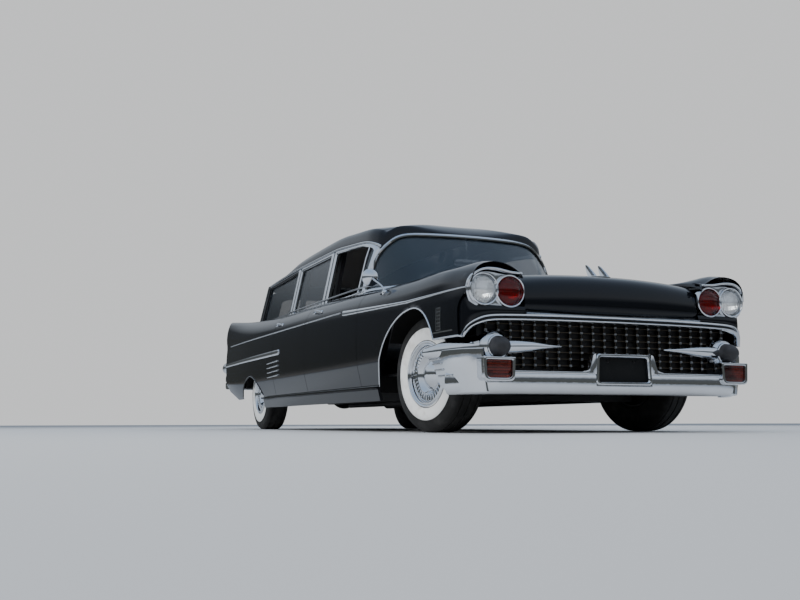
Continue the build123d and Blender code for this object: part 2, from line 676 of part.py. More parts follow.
def wheel():
    """Left wheel about the X axis at the origin: rim, hub and deep bright cover."""
    w = TYRE_W / 2
    seat = RIM_R - 12
    profile = [
        (-w * 0.78, seat), (-w * 0.78, seat - 14), (-HUB_FACE + 14, seat - 26), (-HUB_FACE + 14, 60),
        (-HUB_FACE, 60), (-HUB_FACE, HUB_HOLE_R), (2, HUB_HOLE_R), (2, 0), (w - 8, 0, -3), (w - 14, 24),
        (w - 42, 78), (w - 56, 92), (w - 54, 108), (w - 30, 124), (w - 22, 168), (w - 2, 186), (w - 4, RIM_R - 2),
        (w * 0.78 + 12, RIM_R - 2), (w * 0.78, seat),
    ]
    return turned(profile, (0, 0, 0), (1, 0, 0))


def stand(shape, y, side):
    """Put a wheel-centred piece on its axle."""
    placed = shape.moved(Location((TRACK / 2, y, TYRE_R)))
    if y == FRONT_AXLE_Y:
        if side < 0:
            return mirrored(placed).rotate(Axis((-KINGPIN_X, FRONT_AXLE_Y, 0), (0, 0, 1)), REST_STEER)
        return steered(placed)
    return mirrored(placed) if side < 0 else placed


def rear_axle():
    """Axle tube, differential and leaf springs."""
    y, z = REAR_AXLE_Y, TYRE_R
    hub_x = TRACK / 2 - HUB_FACE
    tube = rod((-hub_x + SEAT, y, z), (hub_x - SEAT, y, z), 42)
    drums = [rod((s * (hub_x - 50), y, z), (s * (hub_x - SEAT), y, z), 128) for s in (-1, 1)]
    spindles = [rod((s * 600, y, z), (s * (TRACK / 2 - 4), y, z), SPINDLE_R) for s in (-1, 1)]
    ball = turned([(-118, 0), (-110, 60), (-50, 140, 14), (50, 140), (110, 60), (118, 0)], (0, y - 20, z),
                  (0, 1, 0))
    springs = []
    for s in (-1, 1):
        leaf = side_prism([(y - 640, 300), (y, z - 82), (y + 640, 330), (y + 640, 352), (y, z - 40),
                           (y - 640, 322)], s * 500 - 30, s * 500 + 30)
        hangers = [block(*sorted((s * (RAIL_X + RAIL_W / 2), s * 530)), yy - 22, yy + 22, low, high)
                   for yy, low, high in ((y - 620, 290, 334), (y + 620, 326, 440))]
        springs += [leaf, *hangers]
        springs.append(block(s * 500 - 30, s * 500 + 30, y - 50, y + 50, z - 58, z - 28))
    return fuse(tube, *drums, *spindles, ball, *springs)


# Front end
GRILLE_Y = -735               # front of the grille
BULLET = (788, -745, 478)     # rear centre of the left bumper bullet
BULLET_L = 78                 # its bright length, up to the rubber tip
# Side view of the bumper's cheek, whose rear edge slants: y and z
CHEEK = [(-860, 216), (-586, 216), (-466, 324), (-425, 361), (-334, 448), (-345, 470), (-860, 470)]


def front_bumper():
    """Bright bumper: lower blade, lamp pods, bullets and side wings."""
    blade = plan_prism([
        (0, -862, 5), (740, -840, 60), (985, -560), (940, -545, -52), (720, -790), (0, -806),
    ], 213, 335)
    blade = less(blade, plan_prism([(0, -900), (PLATE_HALF, -900), (PLATE_HALF, -829), (0, -829)], 289, 340))
    pod = front_prism([(702, 404), (712, 290, -14), (892, 290), (902, 404)], -858, GRILLE_Y - 6)
    root = block(702, 902, BULLET[1] - 50, GRILLE_Y - 6, 400, 520)
    x, y, z = BULLET
    bullet = turned([(0, 0), (0, 78), (60, 82), (BULLET_L, 70), (BULLET_L, 0)], BULLET, (0, -1, 0))
    inner = turned([(0, 0), (0, 38), (200, 34), (432, 5), (436, 0)], (x, y - 34, z), (-1, 0, 0.02))
    start, end = Vector(x + 10, y - 20, z), Vector(1004, -345, 462)
    run = (end - start).length
    outer = turned([(0, 0), (0, 48), (run * 0.6, 44), (run, 16), (run, 0)], tuple(start),
                   tuple((end - start).normalized()))
    irons = block(RAIL_X - 40, RAIL_X + 40, -810, RAIL_FRONT_Y, 240, 320)
    end = plan_prism([(760, -815), (870, -790), (985, -560), (944, -545), (830, -735), (760, -775)], 300, 404)
    cheek = common(plan_prism([(870, -790), (962, -660), (985, -560), (1002, -340), (984, -338), (944, -545),
                               (860, -700)], 216, 470), side_prism(CHEEK, 800, 1100))
    lip = plan_prism([(PLATE_HALF + 60, -846), (700, -836, 8), (700, -770), (PLATE_HALF + 60, -770)], 334, 350)
    half = fuse(blade, pod, root, bullet, inner, outer, irons, end, cheek, lip)
    return fuse(half, mirrored(half), plate_recess())


PLATE_HALF = 170              # half width of the blank number plate's recess
PLATE_HOLE_X = 88.9           # half the spacing of the two plate screws
PLATE_HOLE_R = 3.5


def plate_recess():
    """Raised frame and backing for a number plate, with its two screw holes."""
    def outline(grow):
        return [(-PLATE_HALF - grow, 290 - grow), (PLATE_HALF + grow, 290 - grow),
                (PLATE_HALF - 8 + grow, 425 + grow), (-PLATE_HALF + 8 - grow, 425 + grow)]
    frame = less(front_prism(outline(22), -872, -800), front_prism(outline(0), -880, -790))
    back = front_prism(outline(2), -836, -828)
    holes = [rod((x, -840, 405), (x, -820, 405), PLATE_HOLE_R) for x in (-PLATE_HOLE_X, PLATE_HOLE_X)]
    return less(fuse(frame, back), *holes)


def bumper_tips():
    """Black rubber tips on the bullets."""
    x, y, z = BULLET
    start = y - BULLET_L - SEAT
    length = start - NOSE_Y
    tip = turned([(0, 0), (0, 68), (length * 0.4, 62), (length * 0.8, 38), (length, 0)], (x, start, z),
                 (0, -1, 0))
    return pair(tip)


def grille():
    """Egg-crate of thin horizontal and upright blades in a dark opening."""
    y0, y1 = GRILLE_Y, GRILLE_Y + 28
    rows = [block(-840, 840, y0, y1, z, z + 5) for z in range(382, 620, 38)]
    posts = [block(x - 3, x + 3, y0 + 4, y1, 382, 610) for x in range(-819, 820, 78)]
    legs = [block(s * RAIL_X - 30, s * RAIL_X + 30, y1 - 10, RAIL_FRONT_Y + 40, RAIL_Z0 + 110, 386)
            for s in (-1, 1)]
    ends = [block(*sorted((s * 690, s * 900)), y0 - 10, y1 + 10, 300, 560) for s in (-1, 1)]
    return less(fuse(*rows, *posts, *legs), *ends)


def grille_bar():
    """Bright bar along the top of the grille, curled down at its ends."""
    half = front_prism([
        (0, 626), (830, 610, 0), (905, 585, 10), (940, 530), (968, 534), (944, 602, -16), (838, 650),
        (0, BAR_TOP_Z),
    ], -830, FENDER_FRONT_Y)
    return fuse(half, mirrored(half))


def radiator():
    """Core behind the grille."""
    return block(-430, 430, RAIL_FRONT_Y + 50, RAIL_FRONT_Y + 130, RAIL_Z0 + 110, 760)


LAMPS = [(693, 786, 73), (856, 792, 73)]   # x, z and lens radius of each head lamp


def lamp_bezels():
    """Bright twin bezels under the fender brows."""
    shell = front_prism([
        (612, 800, 6), (640, 870), (783, 912, 12), (896, 894), (946, 834), (962, 800, 10), (900, 696, 0),
        (780, 690), (650, 690, 12),
    ], -800, FENDER_FRONT_Y)
    holes = [rod((x, -900, z), (x, -770, z), r + SEAT) for x, z, r in LAMPS]
    return pair(less(shell, *holes))


def lamps():
    """Head lamp lenses and the lamps in the bumper pods."""
    lenses = [turned([(0, 0), (0, r), (18, r), (30, r * 0.6), (34, 0)], (x, -770, z), (0, -1, 0))
              for x, z, r in LAMPS]
    pod = front_prism([(716, 398), (724, 306, -10), (880, 306), (888, 398)], -866, -858)
    return [p for one in (*lenses, pod) for p in pair(one)]


def rear_bumper():
    """Rear blade with end pods and irons."""
    blade = plan_prism([
        (0, TAIL_Y), (760, TAIL_Y - 8), (940, TAIL_Y - 110), (960, BODY_REAR_Y + 10), (925, BODY_REAR_Y + 10),
        (900, TAIL_Y - 130), (745, TAIL_Y - 56), (0, TAIL_Y - 48),
    ], 430, 585)
    pod = turned([(0, 0), (0, 40), (150, 62), (176, 50), (176, 0)], (905, TAIL_Y - 177, 668), (0, 1, 0))
    neck = block(860, 940, TAIL_Y - 150, TAIL_Y - 90, 560, 660)
    irons = block(RAIL_X - 40, RAIL_X + 40, RAIL_REAR_Y, TAIL_Y - 30, 440, 500)
    half = fuse(blade, pod, neck, irons)
    return fuse(half, mirrored(half))


def tail_lamps():
    """Round lamps in the fin ends."""
    lens = turned([(0, 0), (0, 30), (20, 30), (48, 14), (54, 0)], (900, BODY_REAR_Y, 1080), (0, 1, 0))
    return pair(lens)


# Inside

def dashboard():
    """Padded panel below the windscreen."""
    body = side_prism([(1010, 820), (1090, 800), (1150, 860), (1130, COWL_Z - 18), (960, COWL_Z - 18)], -778, 778)
    return less(body, rod(COLUMN_FOOT, WHEEL_C, COLUMN_R + 1))


def seat_cushion():
    """Bench cushion, down to its base on the floor."""
    return side_prism([
        (1300, FLOOR_Z + FLOOR_T + SEAT), (1800, FLOOR_Z + FLOOR_T + SEAT), (1800, 600), (1300, 640),
    ], -690, 690)


def seat_back():
    """Bench back."""
    return side_prism([(1800.5, 560), (1900, 560), (2020, 1060), (1930, 1070)], -690, 690)


WHEEL_C = (400, 1330, 940)
COLUMN_FOOT = (400, FIREWALL_Y - 20, 600)
COLUMN_R = 26


def column_axis():
    """Direction of the steering column, up towards the driver."""
    return (Vector(*WHEEL_C) - Vector(*COLUMN_FOOT)).normalized()


def steering_column():
    """Tube from the firewall to the steering wheel."""
    end = Vector(*WHEEL_C) - column_axis() * 42
    return less(rod(COLUMN_FOOT, tuple(end), COLUMN_R), block(300, 500, 0, FIREWALL_Y + 14, 400, 900))


def steering_wheel():
    """Two-spoke wheel with a horn ring hub."""
    axis = column_axis()
    frame = Plane(origin=WHEEL_C, z_dir=axis, x_dir=(1, 0, 0))
    ring = frame.from_local_coords(Solid.make_torus(205, 12))
    hub = rod(tuple(Vector(*WHEEL_C) - axis * (42 - SEAT)), tuple(Vector(*WHEEL_C) + axis * 6), 40)
    left = frame.from_local_coords(Solid.make_box(400, 28, 12, Plane((-200, -14, -8))))
    return fuse(ring, hub, left)


def engine():
    """Engine as one plain block, with the gearbox behind it."""
    return fuse(block(-250, 250, -470, 330, 345, 800), block(-140, 140, 330, 590, 345, 600))


def exhaust():
    """Twin pipes under the floor with silencers."""
    pipes = []
    for s in (-1, 1):
        x = s * 200
        pipes.append(fuse(
            rod((x, 300, 222), (x, 3200, 222), 22), rod((x, 1750, 222), (x, 2250, 222), 42),
            rod((x, 322, 222), (x, 322, 345), 22), block(x - 6, x + 6, 2335, 2355, 222, 250),
        ))
    return pipes


# Bright side trim: side view (y, z) outlines of what stands on each panel
SPEAR = ((-770, 796), (-770, 804), (0, 812), (1182, 876), (1170, 834), (0, 792))
WAIST_LINE = ((1230, 858), (4916, 878), (4916, 890), (1230, 868))
LOW_SPEAR = ((2863, 690), (2875, 662), (BODY_REAR_Y, 668), (BODY_REAR_Y, 706), (2875, 712))
HASHES = (620, 578, 536, 494)  # heights of the stacked bars under the low spear
HASH_Y = (2895, 3255)
TRIM_PROUD = 9                # how far the trim stands off the panel


def handle(y):
    """Pull handle on a door."""
    grip = side_prism([(y, 922), (y + 190, 930), (y + 190, 944), (y, 938)], 1000, 1016)
    feet = [block(940, 1001, yy, yy + 22, 926, 940) for yy in (y + 6, y + 160)]
    return [grip, *feet]


def trim(wall, skin, y0, y1, *extra):
    """Trim that stands on the stretch of side from y0 to y1, with further pieces."""
    outlines = [SPEAR, WAIST_LINE, LOW_SPEAR]
    (start, end) = HASH_Y
    outlines += [((start, z), (start + 10, z - 20), (end, z - 26), (end, z - 10)) for z in HASHES]
    found = []
    for outline in outlines:
        low, high = min(y for y, _ in outline), max(y for y, _ in outline)
        if high <= y0 or low >= y1:
            continue
        strip = common(side_prism(outline, 900, 1100), block(850, 1100, y0, y1, 400, 1000))
        found.append(common(strip, skin))
    parts = [less(one, wall) for one in (*found, *extra)]
    return [p for one in parts for p in solids_of(one) if p.bounding_box().max.X > 960]


MIRROR_C = (-950, 720, 1058)
MIRROR_R = 62
MIRROR_FOOT = (-925, 480, 945)


def mirror(wall):
    """Round mirror on the right fender, on a slim arm."""
    x, y, z = MIRROR_C
    head = turned([(0, 0), (0, MIRROR_R), (14, MIRROR_R), (50, 30), (58, 0)], MIRROR_C, (0, -1, 0))
    fx, fy, fz = MIRROR_FOOT
    arm = rod((fx, fy, fz - 10), (x, y - 30, z), 7)
    foot = rod((fx, fy, fz - 30), (fx, fy, fz + 6), 20)
    return less(fuse(head, arm, foot), mirrored(wall))


def write_all():
    """Build each node and write it."""
    os.makedirs("parts", exist_ok=True)
    wall = side_wall()
    outer = greenhouse()
    house = less(outer, greenhouse(FRAME_T))
    pane_out, pane_in = greenhouse(14), greenhouse(14 + GLASS_T)
    save("chassis_frame", chassis_frame())
    save("floor_pan", floor_pan())
    save("front_fenders", front_fenders(wall))
    save("sills", sills(wall))
    save("rear_quarters", rear_quarters(wall, house))
    save("tail_panels", tail_panels(wall))
    save("cowl", cowl())
    save("roof", roof(house))
    save("body_posts", body_posts(wall))
    save("windscreen", windscreen(pane_out, pane_in))
    save("windscreen_surround", windscreen_surround(house))
    save("quarter_glass", pair(glass(QUARTER_WINDOW, pane_out, pane_in)))
    save("front_bumper", front_bumper())
    save("bumper_tips", bumper_tips())
    save("grille", grille())
    save("grille_bar", grille_bar())
    save("radiator", radiator())
    save("lamp_bezels", lamp_bezels())
    save("lamps", lamps())
    save("rear_bumper", rear_bumper())
    save("tail_lamps", tail_lamps())
    save("dashboard", dashboard())
    save("seat_cushion", seat_cushion())
    save("seat_back", seat_back())
    save("steering_column", steering_column())
    save("load_deck", load_deck())
    save("engine", engine())
    save("front_suspension", front_suspension())
    save("rear_axle", rear_axle())
    save("exhaust", exhaust())
    save("mirror", mirror(wall))
    save("hood", hood())
    save("hood_ornament", less(hood_ornament(), hood()))
    skin = less(wall.moved(Location((TRIM_PROUD, 0, 0))), wall)
    front_y = (FENDER_FRONT_Y + 2, DOOR_FRONT_Y - GAP)
    save("side_trim", *[p for one in trim(wall, skin, *front_y) + trim(wall, skin, DOOR_REAR_Y + GAP / 2, BODY_REAR_Y)
                        for p in pair(one)])
    front = door(wall, house, DOOR_FRONT_Y, DOOR_MID_Y - GAP / 2, FRONT_WINDOW, True)
    front = fuse(front, vent_bar(house, pane_out))
    trims = {"front": trim(wall, skin, DOOR_FRONT_Y, DOOR_MID_Y - GAP / 2, *handle(1760)),
             "rear": trim(wall, skin, DOOR_MID_Y + GAP / 2, DOOR_REAR_Y - GAP / 2, *handle(2860))}
    for which, pieces in trims.items():
        save(f"{which}_door_trim_left", *pieces)
        save(f"{which}_door_trim_right", *[mirrored(p) for p in pieces])
    rear = door(wall, house, DOOR_MID_Y + GAP / 2, DOOR_REAR_Y - GAP / 2, REAR_WINDOW, False)
    save("front_door_left", front)
    save("front_door_right", mirrored(front))
    save("rear_door_left", rear)
    save("rear_door_right", mirrored(rear))
    front_pane = glass(FRONT_WINDOW, pane_out, pane_in)
    save("front_glass_left", front_pane)
    save("front_glass_right", mirrored(common(front_pane, side_prism(vent_zone(VENT_BAR_W), 560, 1100))))
    rear_pane = glass(REAR_WINDOW, pane_out, pane_in)
    save("rear_glass_left", rear_pane)
    save("rear_glass_right", mirrored(rear_pane))
    save("loading_door", loading_door())
    save("loading_glass", loading_glass())
    save("steering_wheel", steering_wheel())
    save("knuckle_left", steered(knuckle()))
    save("knuckle_right", mirrored(knuckle()).rotate(Axis((-KINGPIN_X, 0, 0), (0, 0, 1)), REST_STEER))
    for end, y in (("front", FRONT_AXLE_Y), ("rear", REAR_AXLE_Y)):
        for name, side in (("left", 1), ("right", -1)):
            save(f"tyre_{end}_{name}", stand(tyre(), y, side))
            save(f"wheel_{end}_{name}", stand(wheel(), y, side))


if __name__ == "__main__":
    write_all()
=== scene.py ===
"""A long black hearse of the late nineteen-fifties, dressed for its picture.

Lengths are metres. Along the car they are given from the front axle, rearward
positive, the car's left is +X, and `Shop.add` moves each mesh once so that
Y = 0 is mid-length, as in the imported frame.
"""
import json
import logging
import math
from dataclasses import dataclass
from enum import Enum
from typing import Callable, Iterable, Sequence

import bmesh
import bpy
import numpy as np
from mathutils import Matrix, Vector

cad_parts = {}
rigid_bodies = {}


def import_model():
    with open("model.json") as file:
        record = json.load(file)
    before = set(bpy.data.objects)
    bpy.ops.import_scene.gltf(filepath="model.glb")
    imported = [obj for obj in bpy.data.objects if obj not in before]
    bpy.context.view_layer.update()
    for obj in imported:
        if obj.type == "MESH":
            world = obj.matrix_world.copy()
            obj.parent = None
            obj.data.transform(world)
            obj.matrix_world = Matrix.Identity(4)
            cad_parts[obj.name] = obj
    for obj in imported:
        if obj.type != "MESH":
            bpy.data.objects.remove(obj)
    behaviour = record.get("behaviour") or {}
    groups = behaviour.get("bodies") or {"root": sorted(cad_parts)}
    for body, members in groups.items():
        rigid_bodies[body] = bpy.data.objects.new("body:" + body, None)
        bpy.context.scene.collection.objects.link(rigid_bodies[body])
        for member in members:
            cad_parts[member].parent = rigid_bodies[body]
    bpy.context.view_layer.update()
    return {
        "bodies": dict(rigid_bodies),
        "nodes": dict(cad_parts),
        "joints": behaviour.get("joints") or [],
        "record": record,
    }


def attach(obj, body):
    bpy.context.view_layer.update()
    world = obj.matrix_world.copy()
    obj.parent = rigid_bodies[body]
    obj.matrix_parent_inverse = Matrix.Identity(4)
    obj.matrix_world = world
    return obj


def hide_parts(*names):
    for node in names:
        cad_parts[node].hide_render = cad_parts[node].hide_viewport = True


LOG = logging.getLogger("hearse")
MID_Y = 2.2125                # from the front axle to mid-length
ROOT = "body"

Point2 = tuple[float, float]
Point3 = Sequence[float]
Mesh = tuple[list, list]      # vertices and faces
Lift = Callable[[float, float, float], Point3]  # point from two flat coordinates and a level
Painter = Callable[[Vector], int]  # finish number of a face from its middle


# Node trees

class Signal:
    """One output socket of a node tree, on which arithmetic adds Math nodes."""

    def __init__(self, tree: "Tree", socket: bpy.types.NodeSocket) -> None:
        """Keep the socket and the tree that it belongs to."""
        self.tree = tree
        self.socket = socket

    def math(self, operation: str, *others: "Signal | float") -> "Signal":
        """Result of a Math node whose first input is this signal."""
        return self.tree.node("ShaderNodeMath", {"operation": operation}, dict(enumerate((self, *others))))

    def __add__(self, other: "Signal | float") -> "Signal":
        """Sum."""
        return self.math("ADD", other)

    def __sub__(self, other: "Signal | float") -> "Signal":
        """Difference."""
        return self.math("SUBTRACT", other)

    def __mul__(self, other: "Signal | float") -> "Signal":
        """Product."""
        return self.math("MULTIPLY", other)

    def __truediv__(self, other: "Signal | float") -> "Signal":
        """Quotient."""
        return self.math("DIVIDE", other)

    def __mod__(self, other: "Signal | float") -> "Signal":
        """Remainder."""
        return self.math("MODULO", other)

    def sine(self) -> "Signal":
        """Sine of the signal, in radians."""
        return self.math("SINE")

    def clamp(self, low: float, high: float) -> "Signal":
        """Signal scaled from low..high to 0..1 and held there."""
        return self.tree.node("ShaderNodeMapRange", {"clamp": True}, {0: self, 1: low, 2: high})

    __radd__ = __add__


class Tree:
    """Node tree to which nodes are added with their settings, values and links."""

    def __init__(self, tree: bpy.types.NodeTree) -> None:
        """Keep the tree."""
        self.tree = tree

    def feed(self, socket: bpy.types.NodeSocket, value: "Signal | float | Sequence") -> None:
        """Link a signal to a socket, or set the socket's own value."""
        if isinstance(value, Signal):
            self.tree.links.new(value.socket, socket)
        elif hasattr(value, "__len__") and socket.type == "RGBA" and len(value) == 3:
            socket.default_value = (*value, 1)
        else:
            socket.default_value = value

    def node(self, kind: str, settings: dict, inputs: dict, out: int | str = 0) -> Signal:
        """Add a node.

        Args:
            kind: Blender's name of the node type.
            settings: Attributes that are set first; "stops" fills a colour ramp.
            inputs: Signals or values by socket name or number.
            out: Output that is returned.

        Returns:
            The chosen output.
        """
        made = self.tree.nodes.new(kind)
        for key, value in settings.items():
            if key == "stops":
                ramp = made.color_ramp
                while len(ramp.elements) < len(value):
                    ramp.elements.new(0.5)
                for element, (place, colour) in zip(ramp.elements, value):
                    element.position, element.color = place, (*colour, 1)
            else:
                setattr(made, key, value)
        for key, value in inputs.items():
            self.feed(made.inputs[key], value)
        return Signal(self, made.outputs[out])

    def end(self, kind: str, result: Signal) -> None:
        """Link the tree's result to a new output node of a kind."""
        self.feed(self.tree.nodes.new(kind).inputs[0], result)


class Shader(Tree):
    """A material's node tree with one Principled shader."""

    def __init__(self, name: str) -> None:
        """Start an empty material of that name."""
        self.material = bpy.data.materials.new(name)
        self.material.use_nodes = True
        super().__init__(self.material.node_tree)
        self.tree.nodes.clear()
        self.principled = self.tree.nodes.new("ShaderNodeBsdfPrincipled")
        self.end("ShaderNodeOutputMaterial", Signal(self, self.principled.outputs[0]))

    def place(self, axis: str | None = None) -> Signal:
        """Object coordinates, whole or one axis of them."""
        where = self.node("ShaderNodeTexCoord", {}, {}, "Object")
        return where if axis is None else self.node("ShaderNodeSeparateXYZ", {}, {0: where}, axis)

    def noise(self, scale: float, detail: float = 3, stretch: Point3 | None = None) -> Signal:
        """Fractal noise on object coordinates, stretched where a scale for each axis is given."""
        where = self.place()
        if stretch:
            where = self.node("ShaderNodeMapping", {}, {"Vector": where, "Scale": stretch})
        return self.node("ShaderNodeTexNoise", {}, {"Vector": where, "Scale": scale, "Detail": detail})

    def mix(self, share: Signal, first: Sequence | Signal, second: Sequence | Signal) -> Signal:
        """Colour between two colours."""
        return self.node("ShaderNodeMix", {"data_type": "RGBA"}, {0: share, 6: first, 7: second}, 2)

    def bump(self, height: Signal, depth: float, strength: float = 1.0) -> Signal:
        """Normal from a height in metres times depth."""
        return self.node("ShaderNodeBump", {}, {"Height": height, "Distance": depth, "Strength": strength})

    def set(self, **inputs: "Signal | float | Sequence") -> None:
        """Feed the Principled shader; underscores in names stand for spaces."""
        for key, value in inputs.items():
            self.feed(self.principled.inputs[key.replace("_", " ")], value)


@dataclass(frozen=True)
class Finish:
    """A surface finish: a plain base that each kind of finish refines."""

    name: str
    colour: tuple[float, float, float]
    rough: float = 0.4
    metal: float = 0.0
    slot: str | None = None

    def material(self) -> bpy.types.Material:
        """The finish's material, made when first asked for."""
        found = bpy.data.materials.get(self.name)
        if found is None:
            shader = Shader(self.name)
            shader.set(Base_Color=self.colour, Roughness=self.rough, Metallic=self.metal)
            self.dress(shader)
            found = shader.material
        return found

    def tint(self, factor: float, lift: float = 0.0) -> tuple[float, ...]:
        """The finish's colour made darker or lighter."""
        return tuple(factor * c + lift for c in self.colour)

    def dress(self, shader: Shader) -> None:
        """Add the finish's detail to a shader."""
        grain = shader.noise(160, 4)
        shader.set(Roughness=(grain * 0.16 + (self.rough - 0.08)), Normal=shader.bump(grain, 0.0004))


class Lacquer(Finish):
    """Deep polished paint with orange peel, faint swirls and a little road dust low down."""

    def dress(self, shader: Shader) -> None:
        """Add peel, haze and dust."""
        peel = shader.noise(420, 2)
        haze = shader.noise(7, 5)
        low = shader.place("Z").clamp(0.55, 0.2)
        dust = shader.noise(60, 6) * low * 0.5
        shader.set(
            Base_Color=shader.mix(dust * 0.15, self.colour, (0.08, 0.07, 0.06)),
            Roughness=haze * 0.05 + (self.rough - 0.02) + dust * 0.10,
            Normal=shader.bump(peel, 0.00006),
            Coat_Weight=0.05, Coat_Roughness=0.015, IOR=1.38,
        )


class Plating(Finish):
    """Chrome plate with fine polishing lines and faint clouding."""

    def dress(self, shader: Shader) -> None:
        """Add clouding and polish lines."""
        cloud = shader.noise(9, 6)
        lines = shader.noise(300, 2, (1, 0.06, 1))
        shader.set(
            Base_Color=shader.mix(cloud, self.colour, self.tint(0.86)),
            Roughness=cloud * 0.07 + lines * 0.03 + (self.rough - 0.04),
            Normal=shader.bump(shader.noise(24, 3), 0.0004),
        )


class Pane(Finish):
    """Tinted safety glass."""

    def dress(self, shader: Shader) -> None:
        """Add smears and let the view through."""
        smear = shader.noise(5, 6, (1, 1, 0.3))
        shader.set(
            Roughness=smear * 0.035 + 0.005, IOR=1.52, Coat_Weight=1.0, Coat_Roughness=0.01,
            Alpha=0.40 + smear * 0.1,
        )
        shader.material.surface_render_method = "BLENDED"


class LensFinish(Finish):
    """Pressed lamp glass with flutes and a coloured body."""

    def dress(self, shader: Shader) -> None:
        """Add flutes across and a grid of prisms."""
        across = (shader.place("X") * 420).sine()
        down = (shader.place("Z") * 160).sine()
        shader.set(
            Roughness=0.04 + shader.noise(40) * 0.03, IOR=1.45, Transmission_Weight=0.92,
            Normal=shader.bump(across * 0.6 + down * 0.4, 0.0012),
        )


class Rubber(Finish):
    """Dusty black rubber."""

    def dress(self, shader: Shader) -> None:
        """Add dust and a fine skin."""
        dust = shader.noise(12, 6)
        skin = shader.noise(500, 3)
        shader.set(
            Base_Color=shader.mix(dust.clamp(0.45, 0.75), self.colour, self.tint(2.2, 0.008)),
            Roughness=dust * 0.2 + (self.rough - 0.1), Normal=shader.bump(skin, 0.0003),
        )


class WhiteRubber(Finish):
    """Scrubbed white sidewall, a little grey where it meets the black."""

    def dress(self, shader: Shader) -> None:
        """Add grime."""
        grime = shader.noise(18, 6)
        shader.set(
            Base_Color=shader.mix(grime.clamp(0.5, 0.8), self.colour, (0.62, 0.59, 0.54)),
            Roughness=grime * 0.2 + 0.42, Normal=shader.bump(shader.noise(380), 0.0002),
        )


class Leather(Finish):
    """Grained leather with soft creases."""

    def dress(self, shader: Shader) -> None:
        """Add grain and creases that lighten the colour in places."""
        grain = shader.node("ShaderNodeTexVoronoi", {"feature": "DISTANCE_TO_EDGE"},
                            {"Vector": shader.place(), "Scale": 420}).clamp(0.0, 0.12)
        crease = shader.noise(22, 5)
        shader.set(
            Base_Color=shader.mix(crease.clamp(0.4, 0.7), self.colour, self.tint(1.5, 0.01)),
            Roughness=crease * 0.25 + 0.3, Normal=shader.bump(grain * 0.5 + crease, 0.0008),
        )


class Carpet(Finish):
    """Short looped pile."""

    def dress(self, shader: Shader) -> None:
        """Add loops and traffic marks."""
        loops = shader.node("ShaderNodeTexVoronoi", {}, {"Vector": shader.place(), "Scale": 330})
        worn = shader.noise(6, 4)
        shader.set(
            Base_Color=shader.mix(loops, self.tint(0.5), self.colour),
            Roughness=0.85 + worn * 0.1, Normal=shader.bump(loops * -1.0, 0.0015), Sheen_Weight=0.3,
        )


class Veneer(Finish):
    """Varnished boards that run along the car."""

    board = 0.14

    def dress(self, shader: Shader) -> None:
        """Add grain, board joints and varnish."""
        x = shader.place("X")
        grain = shader.noise(26, 8, (9, 0.5, 1))
        fine = shader.noise(220, 4, (6, 0.12, 1))
        joint = (x * (math.pi / self.board)).sine()
        seam = (joint * joint).clamp(0.0, 0.004)
        tone = shader.node("ShaderNodeValToRGB", {"stops": [
            (0.25, (0.10, 0.032, 0.010)), (0.5, (0.21, 0.080, 0.026)), (0.75, (0.33, 0.150, 0.055)),
        ]}, {"Fac": grain * 0.7 + fine * 0.3})
        shader.set(
            Base_Color=shader.mix(seam, (0.02, 0.01, 0.005), tone),
            Roughness=0.22 + fine * 0.12, Normal=shader.bump(seam * 0.6 + fine * 0.4, 0.0006),
            Coat_Weight=0.5, Coat_Roughness=0.08,
        )


class Look:
    """The car's finishes."""

    paint = Lacquer("black_lacquer", (0.0035, 0.0042, 0.006), 0.06, slot="black_paint")
    inner_paint = Finish("satin_black_paint", (0.012, 0.012, 0.014), 0.4, slot="black_paint")
    frame = Finish("chassis_black", (0.016, 0.015, 0.014), 0.6, slot="frame_black")
    chrome = Plating("bright_chrome", (0.83, 0.85, 0.88), 0.06, 1.0, slot="bright_plate")
    dull = Plating("brushed_alloy", (0.62, 0.63, 0.65), 0.28, 1.0, slot="bright_plate")
    dark = Finish("grille_black", (0.010, 0.009, 0.009), 0.45, 0.2, slot="grille_dark")
    void = Finish("recess_black", (0.003, 0.003, 0.003), 0.9, slot="grille_dark")
    bronze = Plating("grille_bronze", (0.12, 0.10, 0.075), 0.35, 1.0, slot="grille_dark")
    glass = Pane("tinted_pane", (0.012, 0.020, 0.028), 0.02, slot="tinted_glass")
    clear = LensFinish("clear_lens", (0.92, 0.94, 0.95), 0.04, slot="lamp_glass")
    red = LensFinish("red_lens", (0.26, 0.006, 0.006), 0.04, slot="lamp_red")
    amber = LensFinish("amber_lens", (0.16, 0.018, 0.008), 0.06, slot="lamp_red")
    tip = Rubber("bumper_rubber", (0.018, 0.018, 0.020), 0.5, slot="rubber_tip")
    tyre = Rubber("tyre_black", (0.017, 0.016, 0.015), 0.85, slot="tyre_rubber")
    white = WhiteRubber("white_sidewall", (0.86, 0.85, 0.82), 0.5, slot="tyre_rubber")
    seal = Rubber("window_seal", (0.012, 0.012, 0.012), 0.6, slot="rubber_tip")
    seat = Leather("seat_leather_grey", (0.045, 0.047, 0.052), 0.4, slot="seat_leather")
    trim = Leather("dash_vinyl", (0.020, 0.021, 0.024), 0.4, slot="dash_trim")
    carpet = Carpet("floor_carpet", (0.030, 0.030, 0.034), 0.9, slot="dash_trim")
    lining = Carpet("roof_lining", (0.30, 0.29, 0.27), 0.9, slot="dash_trim")
    wood = Veneer("deck_boards", (0.2, 0.08, 0.03), 0.3, slot="deck_wood")
    iron = Finish("cast_iron", (0.05, 0.048, 0.045), 0.55, 0.6, slot="frame_black")


# Mesh making

